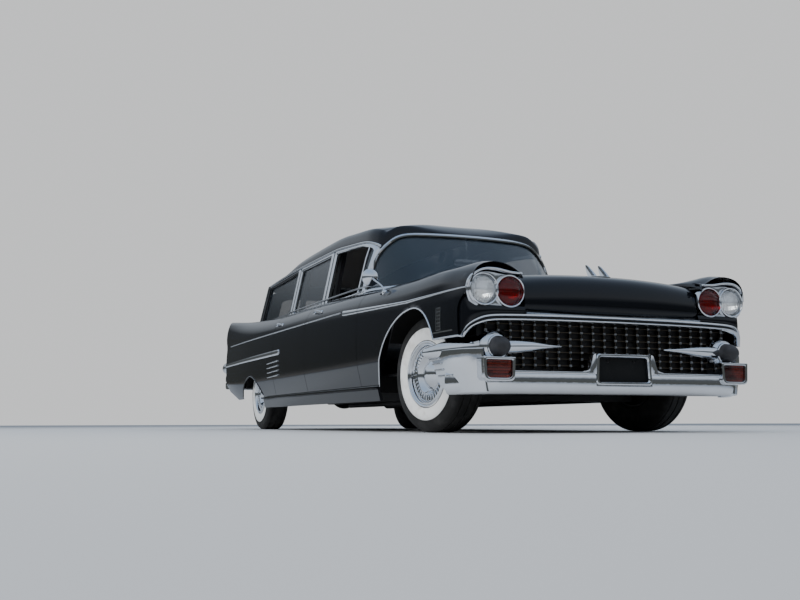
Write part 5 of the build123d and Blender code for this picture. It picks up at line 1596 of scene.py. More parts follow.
@dataclass
class Molding:
    """Bright strips on the body side: rows hold y, lower z and upper z."""

    spear: tuple = ((-0.768, 0.7955, 0.8045), (-0.40, 0.794, 0.807), (0.0, 0.792, 0.812),
                    (0.60, 0.813, 0.842), (1.140, 0.833, 0.872), (1.182, 0.836, 0.876))
    waist: tuple = ((1.230, 0.858, 0.868), (3.0, 0.868, 0.879), (4.916, 0.878, 0.890))
    low: tuple = ((2.863, 0.686, 0.694), (2.875, 0.664, 0.711), (3.6, 0.665, 0.710), (5.140, 0.668, 0.706))
    hashes: tuple = (0.609, 0.567, 0.525, 0.483)  # heights of the stacked bars

    def strip(self, table: Sequence[Sequence[float]], y0: float, y1: float,
              proud: float = 0.009) -> Mesh | None:
        """Half-round strip on the left skin between two stations."""
        rows = np.array(table)
        y0, y1 = max(y0, rows[0, 0]), min(y1, rows[-1, 0])
        if y1 - y0 < 0.005:
            return None
        stations = np.unique([*np.arange(y0, y1, 0.03), y1, *[y for y in rows[:, 0] if y0 < y < y1]])
        across = np.linspace(0, 1, 9)
        rings = []
        for y in stations:
            low, high = (float(np.interp(y, rows[:, 0], rows[:, k])) for k in (1, 2))
            front = [SKIN.on(y, low + (high - low) * t, proud * (1 - abs(2 * t - 1) ** 3) ** 0.6)
                     for t in across]
            back = [SKIN.on(y, low + (high - low) * t, -0.003) for t in (1.0, 0.5, 0.0)]
            rings.append([*front, *back])
        return capped(rings)

    def hashed(self, z: float, y0: float, y1: float) -> Mesh | None:
        """One of the short stacked bars under the low spear."""
        table = [(2.895, z + 0.008, z + 0.010), (2.905, z - 0.006, z + 0.010), (3.255, z - 0.012, z - 0.002)]
        return self.strip(table, y0, y1, 0.011)

    def build(self) -> None:
        """Make the strips, panel by panel."""
        fixed = []
        for which, y0, y1 in PANELS.spans():
            made = [self.strip(table, y0, y1) for table in (self.spear, self.waist, self.low)]
            made += [self.hashed(z, y0, y1) for z in self.hashes]
            if which == ROOT:
                fixed += [m for m in made if m]
                continue
            grip = self.handle(1.760 if which == "front_door" else 2.860)
            mesh = joined(*[m for m in made if m], grip)
            Shop.pair(f"{which}_{{}}_bright_trim", mesh, Look.chrome, f"{which}_{{}}", [f"{which}_trim_{{}}"],
                      smooth=40)
        Shop.add("side_bright_trim", both(joined(*fixed)), Look.chrome, replaces=["side_trim"], smooth=40)
        # dark slabs on the skin stand for the inlets: painted shade of their openings
        Shop.add("fender_inlets", both(joined(*self.inlets())), Look.dark, bevel=0.001)
        Shop.add("fender_inlet_frames", both(joined(*self.inlet_frames())), Look.chrome)
        hem = [(0.958, -0.735, 0.530), *[SKIN.on(y, 0.538, 0.001) for y in np.linspace(-0.690, -0.398, 20)]]
        sill = [SKIN.on(y, 0.303, 0.001) for y in np.linspace(0.55, 3.50, 60)]
        for name, path, section, finish in (
                ("arch_lips", [SKIN.on(*p) for p in SKIN.front_opening()[1:]], circle(0.005, 8), Look.chrome),
                ("fender_hems", hem, bead(0.012, 0.008), Look.chrome),
                ("rear_arch_lips", [SKIN.on(*p) for p in SKIN.rear_opening()[2:-1]], circle(0.006, 8),
                 Look.paint),
                ("sill_moldings", sill, bead(0.008, 0.004), Look.chrome)):
            Shop.add(name, both(sweep(path, section, (1, 0, 0))), finish)

    def handle(self, y: float) -> Mesh:
        """Pull handle: bowed grip, two feet and a push button."""
        line = [(y, 0.930), (y + 0.045, 0.9325), (y + 0.095, 0.9345), (y + 0.145, 0.936), (y + 0.190, 0.938)]
        offs = (0.004, 0.022, 0.027, 0.022, 0.004)
        grip_line = smooth_curve([SKIN.on(a, b, d) for (a, b), d in zip(line, offs)], 8)
        grip = sweep(grip_line, circle(0.0075, 12, 0.75), (0, 0, 1), False,
                     lambda t: (0.75 + 0.35 * math.sin(math.pi * t),) * 2)
        feet = [lathe([(-0.004, 0), (-0.004, 0.013), (0.003, 0.012), (0.010, 0.006), (0.010, 0)],
                      SKIN.on(a, b), (1, 0, 0), 20) for a, b in (line[0], line[-1])]
        button = lathe([(-0.003, 0), (-0.003, 0.009), (0.006, 0.009), (0.008, 0.006), (0.008, 0)],
                       SKIN.on(y + 0.212, 0.938), (1, 0, 0), 20)
        return joined(grip, *feet, button)

    def inlets(self) -> list[Mesh]:
        """Column of dark slabs on the fender behind the lamps: painted shade in place of the openings of
        small inlets.
        """
        return [self.patch(-0.497, 0.048, z, z + 0.017, 0.0015) for z in np.arange(0.588, 0.700, 0.0215)]

    def inlet_frames(self) -> list[Mesh]:
        """Bright ribs round the inlets and the strip under them."""
        ribs = [self.patch(-0.502, 0.058, z, z + 0.0035, 0.004) for z in np.arange(0.584, 0.716, 0.0215)]
        sides = [self.patch(y, 0.005, 0.584, 0.7165, 0.005) for y in (-0.503, -0.448)]
        return [*ribs, *sides, self.patch(-0.640, 0.245, 0.570, 0.577, 0.006)]

    @staticmethod
    def patch(y: float, length: float, low: float, high: float, proud: float) -> Mesh:
        """Small block that stands on the skin."""
        section = [(t, -0.003) for t in (0, 0.5, 1)] + [(t, proud) for t in (1, 0.5, 0)]
        return capped([[SKIN.on(y + length * u, low + (high - low) * t, d) for t, d in section]
                       for u in (0, 0.5, 1)])


@dataclass
class Mirrors:
    """Round mirror on the right fender and the one on the header inside."""

    centre: tuple = (0.950, 0.720, 1.058)
    foot: tuple = (0.480, 0.925)  # y and z on the fender

    def build(self) -> None:
        """Make both mirrors."""
        shell = [(0.0, 0.0), (0.0, 0.055), (0.001, 0.060), (0.006, 0.062), (0.016, 0.061), (0.034, 0.050),
                 (0.050, 0.030), (0.058, 0.010), (0.059, 0.0)]
        head = lathe(shell, self.centre, (0, -1, 0), 48)
        x, y, z = self.centre
        fx, fy, fz = SKIN.on(*self.foot)
        arm_line = smooth_curve([(fx, fy, fz), (fx + 0.004, fy + 0.03, fz + 0.045), (x, y - 0.10, z - 0.035),
                                 (x, y - 0.040, z - 0.006)], 10)
        arm = sweep(arm_line, circle(0.0065, 12), (0, 0, 1))
        foot = lathe([(-0.006, 0), (-0.006, 0.022), (0.004, 0.021), (0.014, 0.010), (0.014, 0)], (fx, fy, fz),
                     (1, 0, 0.3), 28)
        Shop.add("fender_mirror", flipped(joined(head, arm, foot)), Look.chrome, replaces=["mirror"],
                 smooth=40)
        inside = slab(rounded([(-0.11, 1.252, 0.02), (0.11, 1.252, 0.02), (0.10, 1.306, 0.02),
                               (-0.10, 1.306, 0.02)], 6),
                      lambda a, b, d: (a, 1.105 + d, b), 0.0, 0.018)
        stalk = sweep([(0, 1.118, 1.300), (0, 1.12, 1.38), (0, 1.13, 1.47)], circle(0.006, 10), (0, -1, 0))
        Shop.add("inside_mirror", joined(inside, stalk), Look.chrome, bevel=0.003)


@dataclass
class RoadWheel:
    """Tyre with a white band and a stepped bright cover, about X at the origin."""

    tyre_radius: float = 0.358
    half: float = 0.107
    white: tuple = (0.207, 0.283)
    ribs: int = 36
    track: float = 0.7745
    king_pin: float = 0.640       # X of the axis that a front wheel is steered about
    steered: float = 10.0         # degrees, as in the picture
    sidewall: tuple = ((0.76, 0.196), (0.86, 0.2045), (0.92, 0.2085), (0.985, 0.245), (1.0, 0.262),
                       (0.992, 0.279), (0.975, 0.2835), (0.955, 0.286), (0.935, 0.305), (0.90, 0.332),
                       (0.85, 0.345), (0.75, 0.3525))
    dish: tuple = ((0.018, 0.2035), (0.008, 0.2055), (0.002, 0.2025), (0.0, 0.1965), (0.003, 0.1915),
                   (0.007, 0.1890), (0.004, 0.1850), (0.003, 0.1790), (0.010, 0.1730), (0.022, 0.1690),
                   (0.025, 0.1650), (0.024, 0.1400), (0.029, 0.1220), (0.034, 0.1180), (0.046, 0.1060),
                   (0.054, 0.0980), (0.056, 0.0940), (0.053, 0.0900), (0.048, 0.0880), (0.044, 0.0850),
                   (0.040, 0.0780), (0.027, 0.0600), (0.018, 0.0420), (0.012, 0.0220), (0.010, 0.0100),
                   (0.009, 0.0), (0.075, 0.0), (0.080, 0.10), (0.055, 0.165), (0.040, 0.200))

    def tyre(self) -> Mesh:
        """Tyre with three tread grooves, from the shares of the half width and the radii of its wall."""
        w, top, groove = self.half, self.tyre_radius, 0.007
        wall = [(w * share, r) for share, r in self.sidewall]
        tread = [(w * (at + off), top - deep) for at in (0.50, 0.0, -0.50)
                 for off, deep in ((0.055, 0.0006), (0.045, groove), (-0.045, groove), (-0.055, 0.0006))]
        crown = [(w * 0.70, top - 0.002), *tread, (-w * 0.70, top - 0.002)]
        profile = [*wall, *crown, *[(-x, r) for x, r in wall[::-1]], (-w * 0.60, 0.192), (w * 0.60, 0.192)]
        return lathe(profile, (0, 0, 0), (1, 0, 0), 96, True)

    def cover(self) -> Mesh:
        """Stepped cover: bright rim, ribbed dish and a centre cone."""
        return lathe([(self.half - inset, r) for inset, r in self.dish], (0, 0, 0), (1, 0, 0), 96)

    def rim_ring(self) -> Mesh:
        """Steel rim barrel and hub behind the cover."""
        w = self.half
        barrel = lathe([(w * 0.76, 0.1935), (w * 0.5, 0.186), (-w * 0.55, 0.186), (-w * 0.77, 0.1935),
                        (-w * 0.77, 0.183), (-w * 0.5, 0.176), (w * 0.5, 0.176), (w * 0.70, 0.184)],
                       (0, 0, 0), (1, 0, 0), 72, True)
        hub = lathe([(-0.051, 0.0345), (-0.051, 0.060), (0.006, 0.062), (0.008, 0.10), (0.020, 0.176),
                     (0.014, 0.178), (0.000, 0.10), (-0.002, 0.0345)], (0, 0, 0), (1, 0, 0), 48, True)
        return joined(barrel, hub)

    def rib(self) -> Mesh:
        """One radial rib of the dish, pointing up."""
        base, top = self.half - 0.0265, self.half - 0.0195
        return capped([[(base, -0.0035, r), (base, 0.0035, r), (top + d, 0.0015, r), (top + d, -0.0015, r)]
                       for r, d in ((0.124, -0.005), (0.132, 0.0), (0.160, 0.0), (0.167, -0.004))])

    def stand(self, end: str, side: Side) -> Matrix:
        """Where a wheel stands, with the front ones steered."""
        place = Matrix.Translation((side.value * self.track, SKIN.skirt_y if end == "rear" else 0.0,
                                    self.tyre_radius))
        if end == "rear":
            return place
        pin = Matrix.Translation((side.value * self.king_pin, 0, 0))
        return pin @ Matrix.Rotation(math.radians(self.steered), 4, "Z") @ pin.inverted() @ place

    def banding(self, stand: Matrix, side: Side) -> Painter:
        """Function that gives 1 for the middle of a face on a placed tyre's white band."""
        centre = stand.translation.copy()
        axis = (stand.to_3x3() @ Vector((side.value, 0, 0))).normalized()

        def is_white(middle: Vector) -> int:
            arm = middle - centre
            out = arm.dot(axis)
            return int(out > 0.05 and self.white[0] < (arm - axis * out).length < self.white[1])

        return is_white

    def build(self) -> None:
        """Make the four wheels and the dark arches over them."""
        ribs = RING.make(self.rib(), {"Count": self.ribs})
        parts = (("cover", joined(self.cover(), ribs), Look.chrome), ("rim", self.rim_ring(), Look.frame))
        tyre = self.tyre()
        for end in ("front", "rear"):
            for side in Side:
                wheel, stand = f"{end}_{side.tag}", self.stand(end, side)
                Shop.add(f"tyre_{wheel}_rubber", placed(side.of(tyre), stand), Look.tyre, f"wheel_{wheel}",
                         [f"tyre_{wheel}"], smooth=40, extra=[Look.white], paint_by=self.banding(stand, side))
                for kind, mesh, finish in parts:
                    Shop.add(f"{kind}_{wheel}_metal", placed(side.of(mesh), stand), finish, f"wheel_{wheel}",
                             [f"wheel_{wheel}"] if kind == "cover" else [], smooth=28)
        arches = joined(self.liner(0.0, 0.470, 20, 152), self.liner(SKIN.skirt_y, 0.405, 8, 172))
        Shop.add("wheel_houses", both(arches), Look.dark)

    def liner(self, y: float, radius: float, first: float, last: float) -> Mesh:
        """Dark arch over a wheel, inside the body side, between two angles."""
        section = ((0.600, radius), (0.925, radius), (0.925, radius + 0.006), (0.600, radius + 0.006))
        return capped([[(x, y - r * math.cos(a), self.tyre_radius + r * math.sin(a)) for x, r in section]
                       for a in np.radians(np.linspace(first, last, 28))])


@dataclass
class Tail:
    """Tail panel, loading door with its window, rear bumper and lamps."""

    profile: tuple = ((5.098, 0.612), (5.108, 0.70), (5.112, 0.780), (5.104, 0.880), (5.082, 0.955),
                      (5.040, 1.025), (4.985, 1.115), (4.850, 1.345), (4.775, 1.472))
    half: float = 0.560
    wall: float = 0.050
    window: tuple = (1.066, 1.414)
    jamb: float = 0.010
    bumper_z: float = 0.508

    def point(self, x: float, z: float, inset: float = 0.0) -> Point3:
        """Point on the tail door's outer face."""
        line = np.array(self.profile)
        y = float(np.interp(z, line[:, 1], line[:, 0]))
        return x, y - inset - 0.012 * (x / self.half) ** 2, z

    def build(self) -> None:
        """Make the whole rear end."""
        low, high = self.window
        outline = rounded([(-self.half, 0.614, 0.01), (self.half, 0.614, 0.01), (self.half, 1.470, 0.05),
                           (-self.half, 1.470, 0.05)], 8)
        hole = rounded([(-0.466, low, 0.05), (0.466, low, 0.05), (0.430, high, 0.05), (-0.430, high, 0.05)],
                       8)
        Shop.add("loading_door_panel", self.skin(outline, hole), Look.paint, "loading_door", ["loading_door"],
                 smooth=45)
        rim = self.ring(hole, 0.016, 0.006)
        Shop.add("loading_window_frame", rim, Look.chrome, "loading_door", smooth=40)
        glass = pane(hole, self.point, 0.018, 0.006, (0.03, 0.3, 0.6, 0.8, 0.999))
        Shop.add("loading_pane", glass, Look.glass, "loading_door", ["loading_glass"], smooth=50)
        plate = slab(rounded([(-0.155, 0.800, 0.012), (0.155, 0.800, 0.012), (0.155, 0.880, 0.012),
                              (-0.155, 0.880, 0.012)]),
                     lambda x, z, d: self.point(x, z, -d), -0.002, 0.006)
        Shop.add("blank_rear_plate", plate, Look.dark, "loading_door", bevel=0.001)
        grip = sweep(smooth_curve([self.point(-0.50, 0.972, 0.0), self.point(-0.49, 0.972, -0.028),
                                   self.point(-0.40, 0.972, -0.032), self.point(-0.36, 0.972, -0.026),
                                   self.point(-0.35, 0.972, 0.0)], 8), circle(0.009, 14), (0, 0, 1))
        strip = sweep([self.point(x, 0.912, -0.001) for x in np.linspace(-0.55, 0.55, 30)],
                      bead(0.022, 0.007), (0, 1, 0))
        Shop.add("loading_door_handle", joined(grip, strip), Look.chrome, "loading_door", smooth=40)
        self.fixed()
        self.bumper()

    def skin(self, outline: Sequence[Point2], hole: Sequence[Point2]) -> Mesh:
        """Door shell: front and back faces from the window to the edge, closed round both."""
        outer, inner = resample(outline, 200, True), resample(hole, 200, True)
        start = int(np.argmin(np.linalg.norm(inner - outer[0] * 0.8, axis=1)))
        inner = np.roll(inner, -start, 0)
        shares = np.linspace(0, 1, 14)
        rings = []
        for t, inset in [*[(t, 0.0) for t in shares], *[(t, self.wall) for t in shares[::-1]]]:
            line = inner * (1 - t) + outer * t
            rings.append([self.point(x, z, inset) for x, z in line])
        return grid(rings, True, True)

    def ring(self, outline: Sequence[Point2], width: float, proud: float) -> Mesh:
        """Frame that stands round an opening."""
        line = resample(outline, 160, True)
        grow = 1 + 2 * width / (line[:, 0].max() - line[:, 0].min()) * 1.6
        rings = []
        for share, inset in ((1.0, 0.020), (1.0, -proud * 0.4), (1.0 + (grow - 1) * 0.4, -proud),
                             (grow, -proud * 0.4), (grow, 0.004)):
            rings.append([self.point(*p, inset) for p in scaled(line, share)])
        return grid(rings, True, True)

    def fixed(self) -> None:
        """Panels round the door: lower panel, shelves beside the fins, fin ends and rear posts."""
        rows = []
        for t in np.linspace(0, 1, 12):
            z = 0.440 + (0.606 - 0.440) * t
            rows.append([(x, 5.118 - 0.02 * (x / 0.9) ** 2 - 0.01 * (1 - t), z)
                         for x in np.linspace(-0.90, 0.90, 60)])
        Shop.add("tail_lower_panel", grid(rows), Look.paint, replaces=["tail_panels"], thick=0.01)
        sides = []
        for t in np.linspace(0, 1, 24):
            z = 0.600 + (1.028 - 0.600) * t
            inner = self.point(self.half + self.jamb, z)
            ends = [inner, (0.66, inner[1] + 0.004, z), (0.78, 5.110 - 0.03 * t * t, z),
                    (0.845, 5.128 - 0.02 * t * t, z), (0.90, 5.135, z)]
            sides.append(resample(smooth_curve(ends, 6), 22))
        Shop.add("tail_corners", both(grid(sides)), Look.paint, thick=0.01, smooth=50)
        self.fin_ends()
        shelf = []
        inside = [(SKIN.inner_x(y) + 0.005, y) for y in np.linspace(4.30, 5.11, 30)]
        corner = 5 * HOUSE.steps      # where the plan turns in to the tail
        wall = resample([*HOUSE.at_height(1.03, -0.001)[corner:].tolist(), (self.half + self.jamb, 5.04)], 30)
        for t in np.linspace(0, 1, 8):
            shelf.append([(*(np.array(a) * (1 - t) + b * t), 1.030) for a, b in zip(inside, wall)])
        Shop.add("fin_shelves", both(grid(shelf)), Look.paint, thick=0.01)
        posts = []
        for z in np.linspace(1.0, 1.484, 20):
            line = HOUSE.at_height(z)
            keep = line[(line[:, 1] > 4.325) & (np.arange(len(line)) >= corner)]
            end_x = self.half + self.jamb
            keep = keep[keep[:, 0] > end_x]
            edge = (end_x, self.point(end_x, z)[1])
            posts.append([(*p, z) for p in resample([*keep.tolist(), edge], 34)])
        Shop.add("rear_posts", both(grid(posts)), Look.paint, thick=0.012, smooth=50)

    def fin_ends(self) -> None:
        """Closed ends of the fins with their round lamps."""
        line = SKIN.profiles(np.array([PANELS.tail]))[0]
        hull = [(x, z) for x, z in line if z > 0.42]
        hull += [(0.840, 1.030), (0.840, 0.60), (0.860, 0.45)]
        rings = [[(x, y, z) for x, z in scaled(hull, s)]
                 for s, y in ((0.99, 5.128), (1.0, 5.141), (0.96, 5.149), (0.5, 5.150), (0.02, 5.150))]
        Shop.add("fin_ends", both(capped(rings)), Look.paint, smooth=40)
        lens, rim = [], []
        radius = 0.029
        for z in (1.080, 0.960):
            lens.append(lathe([(-0.004, 0), (-0.004, radius), (0.014, radius), (0.032, radius * 0.6),
                               (0.038, 0)],
                              (0.897, 5.150, z), (0, 1, 0), 40))
            rim.append(lathe([(-0.004, radius + 0.001), (-0.004, radius + 0.009), (0.010, radius + 0.008),
                              (0.014, radius + 0.001)], (0.897, 5.150, z), (0, 1, 0), 40, True))
        Shop.add("tail_lenses", both(joined(*lens)), Look.red, replaces=["tail_lamps"], smooth=50)
        Shop.add("tail_lamp_rims", both(joined(*rim)), Look.chrome, smooth=40)

    def bumper(self) -> None:
        """Rear blade, end pods and their lamps."""
        half = [(0.0, 5.326), (0.40, 5.324), (0.74, 5.314), (0.88, 5.262), (0.942, 5.205), (0.956, 5.152)]
        path = resample(smooth_curve([(*p, self.bumper_z) for p in half], 12), 80)
        whole = full_width(path)
        section = [(0.050, -0.074), (0.012, -0.078), (0.000, -0.070), (-0.005, -0.045), (-0.004, -0.012),
                   (0.004, 0.0), (-0.004, 0.012), (-0.005, 0.045), (0.0, 0.070), (0.012, 0.078),
                   (0.050, 0.074)]
        blade = sweep(whole, section, (0, 0, 1))
        Shop.add("rear_bumper_blade", blade, Look.chrome, replaces=["rear_bumper"], smooth=35)
        foot = (0.905, 5.153, 0.668)
        pod = lathe([(0, 0), (0, 0.040), (0.06, 0.053), (0.14, 0.062), (0.164, 0.058), (0.172, 0.046),
                     (0.160, 0.042), (0.160, 0)], foot, (0, 1, 0), 56)
        lens = lathe([(0.160, 0), (0.160, 0.041), (0.170, 0.036), (0.175, 0.018), (0.175, 0)], foot,
                     (0, 1, 0), 40)
        neck = box(0.862, 0.938, 5.185, 5.235, 0.560, 0.640)
        Shop.add("rear_pods", both(joined(pod, neck)), Look.chrome, smooth=35)
        Shop.add("rear_pod_lenses", both(lens), Look.red, smooth=50)
        Shop.add("rear_bumper_irons", both(box(0.310, 0.390, 5.180, 5.290, 0.440, 0.500)), Look.frame,
                 bevel=0.004)


@dataclass
class Cabin:
    """Seats, dash, steering wheel, door cards and the carpeted floor."""

    wheel: tuple = (0.400, 1.330, 0.940)
    column_foot: tuple = (0.400, 0.580, 0.600)
    bench_half: float = 0.68

    def build(self) -> None:
        """Make everything in the cab."""
        self.seats()
        dash = smooth_curve([(0.968, 0.955), (1.000, 0.972), (1.070, 0.978), (1.122, 0.960), (1.146, 0.915),
                             (1.148, 0.868), (1.112, 0.832), (1.090, 0.806), (1.020, 0.815), (0.975, 0.860),
                             (0.966, 0.910), (0.968, 0.955)], 5)
        body = slab([tuple(p) for p in dash[:-1]], lambda y, z, x: (x, y, z), -0.770, 0.770)
        Shop.add("dash_pad", body, Look.trim, replaces=["dashboard"], bevel=0.004, smooth=50)
        cluster = slab(rounded([(0.22, 0.862, 0.03), (0.60, 0.862, 0.03), (0.57, 0.940, 0.03),
                                (0.25, 0.940, 0.03)], 6),
                       lambda x, z, d: (x, 1.138 + d, z), 0.0, 0.022)
        Shop.add("dash_instruments", cluster, Look.dull, bevel=0.004)
        dials = joined(*[lathe([(0, 0), (0, 0.030), (0.006, 0.030), (0.006, 0)], (x, 1.159, 0.900), (0, 1, 0),
                               32)
                         for x in (0.33, 0.41, 0.49)])
        Shop.add("dash_dials", dials, Look.dark)
        self.steering()
        for which, y0, y1 in (("front", 0.93, 2.06), ("rear", 2.17, 3.03)):
            body = f"{which}_door_{{}}"
            Shop.pair(f"{body}_card", self.card(y0, y1), Look.trim, body, bevel=0.003)
        carpet = slab([(-0.74, 0.66), (0.74, 0.66), (0.74, 2.24), (-0.74, 2.24)], lambda x, y, z: (x, y, z),
                      0.388, 0.402)
        Shop.add("cab_carpet", carpet, Look.carpet, bevel=0.004)

    def seats(self) -> None:
        """Bench cushion and back as soft forms with pleats."""
        for part, y, z, lean, fill in (("cushion", (1.300, 1.800), (0.492, 0.640), 0.0, 0.6),
                                       ("back", (1.800, 1.960), (0.600, 1.062), 0.165, 0.6)):
            name = f"bench_{part}"
            Shop.add(name, self.pillow(y, z, self.bench_half, lean), Look.seat, replaces=[f"seat_{part}"],
                     levels=1, smooth=60)
        base = box(-0.62, 0.62, 1.34, 1.80, 0.394, 0.52)
        Shop.add("bench_base", base, Look.inner_paint, bevel=0.004)

    @staticmethod
    def pillow(y: Point2, z: Point2, half: float, lean: float) -> Mesh:
        """Rounded block with pleats across, leaning back by lean from its foot to its top."""
        rows = []
        middle = (np.mean(y), np.mean(z))
        deep, tall = (y[1] - y[0]) / 2, (z[1] - z[0]) / 2
        for s in np.linspace(-1, 1, 61):
            edge = 1 - max(0, (abs(s) - 0.90) / 0.10) ** 2 * 0.25
            ring = []
            for a in np.linspace(0, 2 * math.pi, 44, endpoint=False):
                c, n = math.cos(a), math.sin(a)
                u = math.copysign(abs(c) ** 0.45, c) * deep * edge
                v = math.copysign(abs(n) ** 0.45, n) * tall * edge
                pleat = 0.006 * (abs(math.sin(s * math.pi * 8)) ** 0.5 - 1) * (1 if abs(s) < 0.86 else 0)
                v += pleat * (n > 0.2)
                u += pleat * math.copysign(abs(c) > 0.9, c)
                share = (v + tall) / (2 * tall)
                ring.append((s * half, middle[0] + u + lean * (share - 0.5), middle[1] + v))
            rows.append(ring)
        return capped(rows)

    def steering(self) -> None:
        """Two-spoke steering wheel with its horn ring."""
        centre, foot = Vector(self.wheel), Vector(self.column_foot)
        axis = (centre - foot).normalized()
        side = Vector((1, 0, 0))
        up = axis.cross(side).normalized()

        def at(radius: float, turn: float, back: float) -> Vector:
            return centre + side * radius * math.cos(turn) + up * radius * math.sin(turn) - axis * back

        def ring(radius: float, thick: float, back: float, first: float = 0.0, last: float = 360.0) -> Mesh:
            full = last - first >= 360
            angles = np.radians(np.linspace(first, last, 72, endpoint=not full))
            return sweep([at(radius, a, back) for a in angles], circle(thick, 12), axis, full)

        rim = ring(0.205, 0.0115, 0.0)
        bar = [(-0.013, -0.004), (0.013, -0.004), (0.010, 0.004), (-0.010, 0.004)]
        spokes = [sweep([centre - axis * 0.022, centre + side * s * 0.10 - axis * 0.018,
                         centre + side * s * 0.200],
                        bar, axis) for s in (-1, 1)]
        hub = lathe([(-0.040, 0), (-0.040, 0.030), (-0.012, 0.040), (0.000, 0.038), (0.008, 0.025),
                     (0.010, 0)],
                    centre, axis, 40)
        Shop.add("steering_rim", joined(rim, *spokes, hub), Look.trim, "steering_wheel", ["steering_wheel"],
                 smooth=50)
        arms = [sweep([at(0.03, a, 0.008), at(0.128, a, 0.010)], circle(0.004, 8), axis)
                for a in np.radians((200, 340))]
        Shop.add("horn_ring", joined(ring(0.128, 0.004, 0.010, 200, 340), *arms), Look.chrome,
                 "steering_wheel")

    @staticmethod
    def card(y0: float, y1: float) -> Mesh:
        """Trimmed inner panel of a door."""
        line = smooth_curve([(0.893, 0.335), (0.905, 0.45), (0.905, 0.60), (0.888, 0.70), (0.872, 0.78),
                             (0.842, 0.875), (0.812, 0.945)], 5)
        ring = [*[(x - 0.004, z) for x, z in line], *[(x + 0.010, z) for x, z in line[::-1]]]
        rows = [[(x, y, z) for x, z in ring] for y in np.linspace(y0, y1, 10)]
        rest = slab(rounded([(y0 + 0.25, 0.70, 0.02), (y1 - 0.30, 0.70, 0.02), (y1 - 0.30, 0.745, 0.02),
                             (y0 + 0.25, 0.735, 0.02)], 5), lambda y, z, x: (x, y, z), 0.838, 0.888)
        return joined(capped(rows), rest)


@dataclass
class LoadSpace:
    """Boarded deck with rollers, bier rails and the flat rest plate."""

    y0: float = 2.250
    y1: float = 4.700
    half: float = 0.560
    top: float = 0.650
    plate_top: float = 0.676

    def build(self) -> None:
        """Make the deck and its fittings."""
        deck = box(-self.half, self.half, self.y0, self.y1, self.top - 0.020, self.top)
        Shop.add("deck_boarding", deck, Look.wood, replaces=["load_deck"], bevel=0.003)
        under = self.top - 0.019
        sides = [both(box(0.528, 0.552, y0, y1, z, under)) for y0, y1, z in
                 ((self.y0, 3.210, 0.390), (3.490, self.y1, 0.578))]
        front = box(-self.half, self.half, self.y0, self.y0 + 0.020, 0.390, under)
        Shop.add("deck_sides", joined(*sides, front), Look.carpet, bevel=0.002)
        roller = lathe([(-0.110, 0.0), (-0.110, 0.015), (-0.104, 0.016), (0.104, 0.016), (0.110, 0.015),
                        (0.110, 0.0)],
                       (0, 0, 0), (1, 0, 0), 20)
        rollers = LATTICE.make(roller, {"Columns": 2, "Rows": 6, "Pitch": (0.66, 0.43, 0.0)})
        Shop.add("deck_rollers", shifted(rollers, (0, 3.575, 0.658)), Look.dull)
        plate = box(-0.150, 0.150, 2.400, 4.600, self.top - 0.0005, self.plate_top)
        Shop.add("deck_rest_plate", plate, Look.wood, bevel=0.003)
        y0, y1, z0, z1 = self.y0 + 0.03, self.y1 - 0.03, self.top - 0.001, self.top + 0.007
        strips = both(joined(*[box(x - 0.009, x + 0.009, y0, y1, z0, z1) for x in (0.19, 0.48)]))
        Shop.add("deck_strips", strips, Look.dull, bevel=0.002)
        edge = box(-self.half, self.half, self.y1 - 0.004, self.y1 + 0.006, self.top - 0.024,
                   self.top + 0.006)
        Shop.add("deck_end_strip", edge, Look.chrome, bevel=0.002)


class Pattern(Tree):
    """Geometry Nodes tree that repeats one cell; its inputs are set before the first evaluation."""

    kind = "pattern"
    inputs: dict[str, str] = {}

    def __init__(self) -> None:
        """Build the tree: the subclass's points, a copy of the cell on each, made real and painted."""
        super().__init__(bpy.data.node_groups.new(self.kind, "GeometryNodeTree"))
        self.tree.interface.new_socket("Geometry", in_out="OUTPUT", socket_type="NodeSocketGeometry")
        for name, socket in {**self.inputs, "Cell": "NodeSocketObject",
                             "Finish": "NodeSocketMaterial"}.items():
            self.tree.interface.new_socket(name, in_out="INPUT", socket_type=socket)
        self.entry = self.tree.nodes.new("NodeGroupInput")
        cell = self.node("GeometryNodeObjectInfo", {}, {"Object": self.given("Cell"), "As Instance": True},
                         "Geometry")
        copies = self.node("GeometryNodeInstanceOnPoints", {}, {"Instance": cell, **self.points()})
        real = self.node("GeometryNodeRealizeInstances", {}, {"Geometry": copies})
        painted = self.node("GeometryNodeSetMaterial", {},
                            {"Geometry": real, "Material": self.given("Finish")})
        self.end("NodeGroupOutput", painted)

    def given(self, name: str) -> Signal:
        """One of the tree's inputs."""
        return Signal(self, self.entry.outputs[name])

    def index(self) -> Signal:
        """Number of each point."""
        return self.node("GeometryNodeInputIndex", {}, {})

    def points(self) -> dict[str, Signal]:
        """Inputs of the copying node: the points and how a copy is turned at each."""
        raise NotImplementedError

    def make(self, cell: Mesh, values: dict) -> Mesh:
        """Repeat a cell.

        Args:
            cell: Mesh of one copy.
            values: Values for the tree's own inputs, by name.

        Returns:
            All copies as one mesh.
        """
        data = bpy.data.meshes.new("cell")
        data.from_pydata([tuple(v) for v in cell[0]], [], cell[1])
        source = bpy.data.objects.new("cell", data)
        host = bpy.data.objects.new("host", bpy.data.meshes.new("host"))
        for one in (source, host):
            bpy.context.scene.collection.objects.link(one)
        modifier = host.modifiers.new("repeat", "NODES")
        modifier.node_group = self.tree
        given = {**values, "Cell": source, "Finish": Look.dark.material()}
        for item in self.tree.interface.items_tree:
            if item.in_out == "INPUT" and item.name in given:
                modifier[item.identifier] = given[item.name]
        graph = bpy.context.evaluated_depsgraph_get()
        made = bpy.data.meshes.new_from_object(host.evaluated_get(graph))
        result = [tuple(v.co) for v in made.vertices], [tuple(p.vertices) for p in made.polygons]
        for one in (host, source):
            bpy.data.objects.remove(one)
        return result


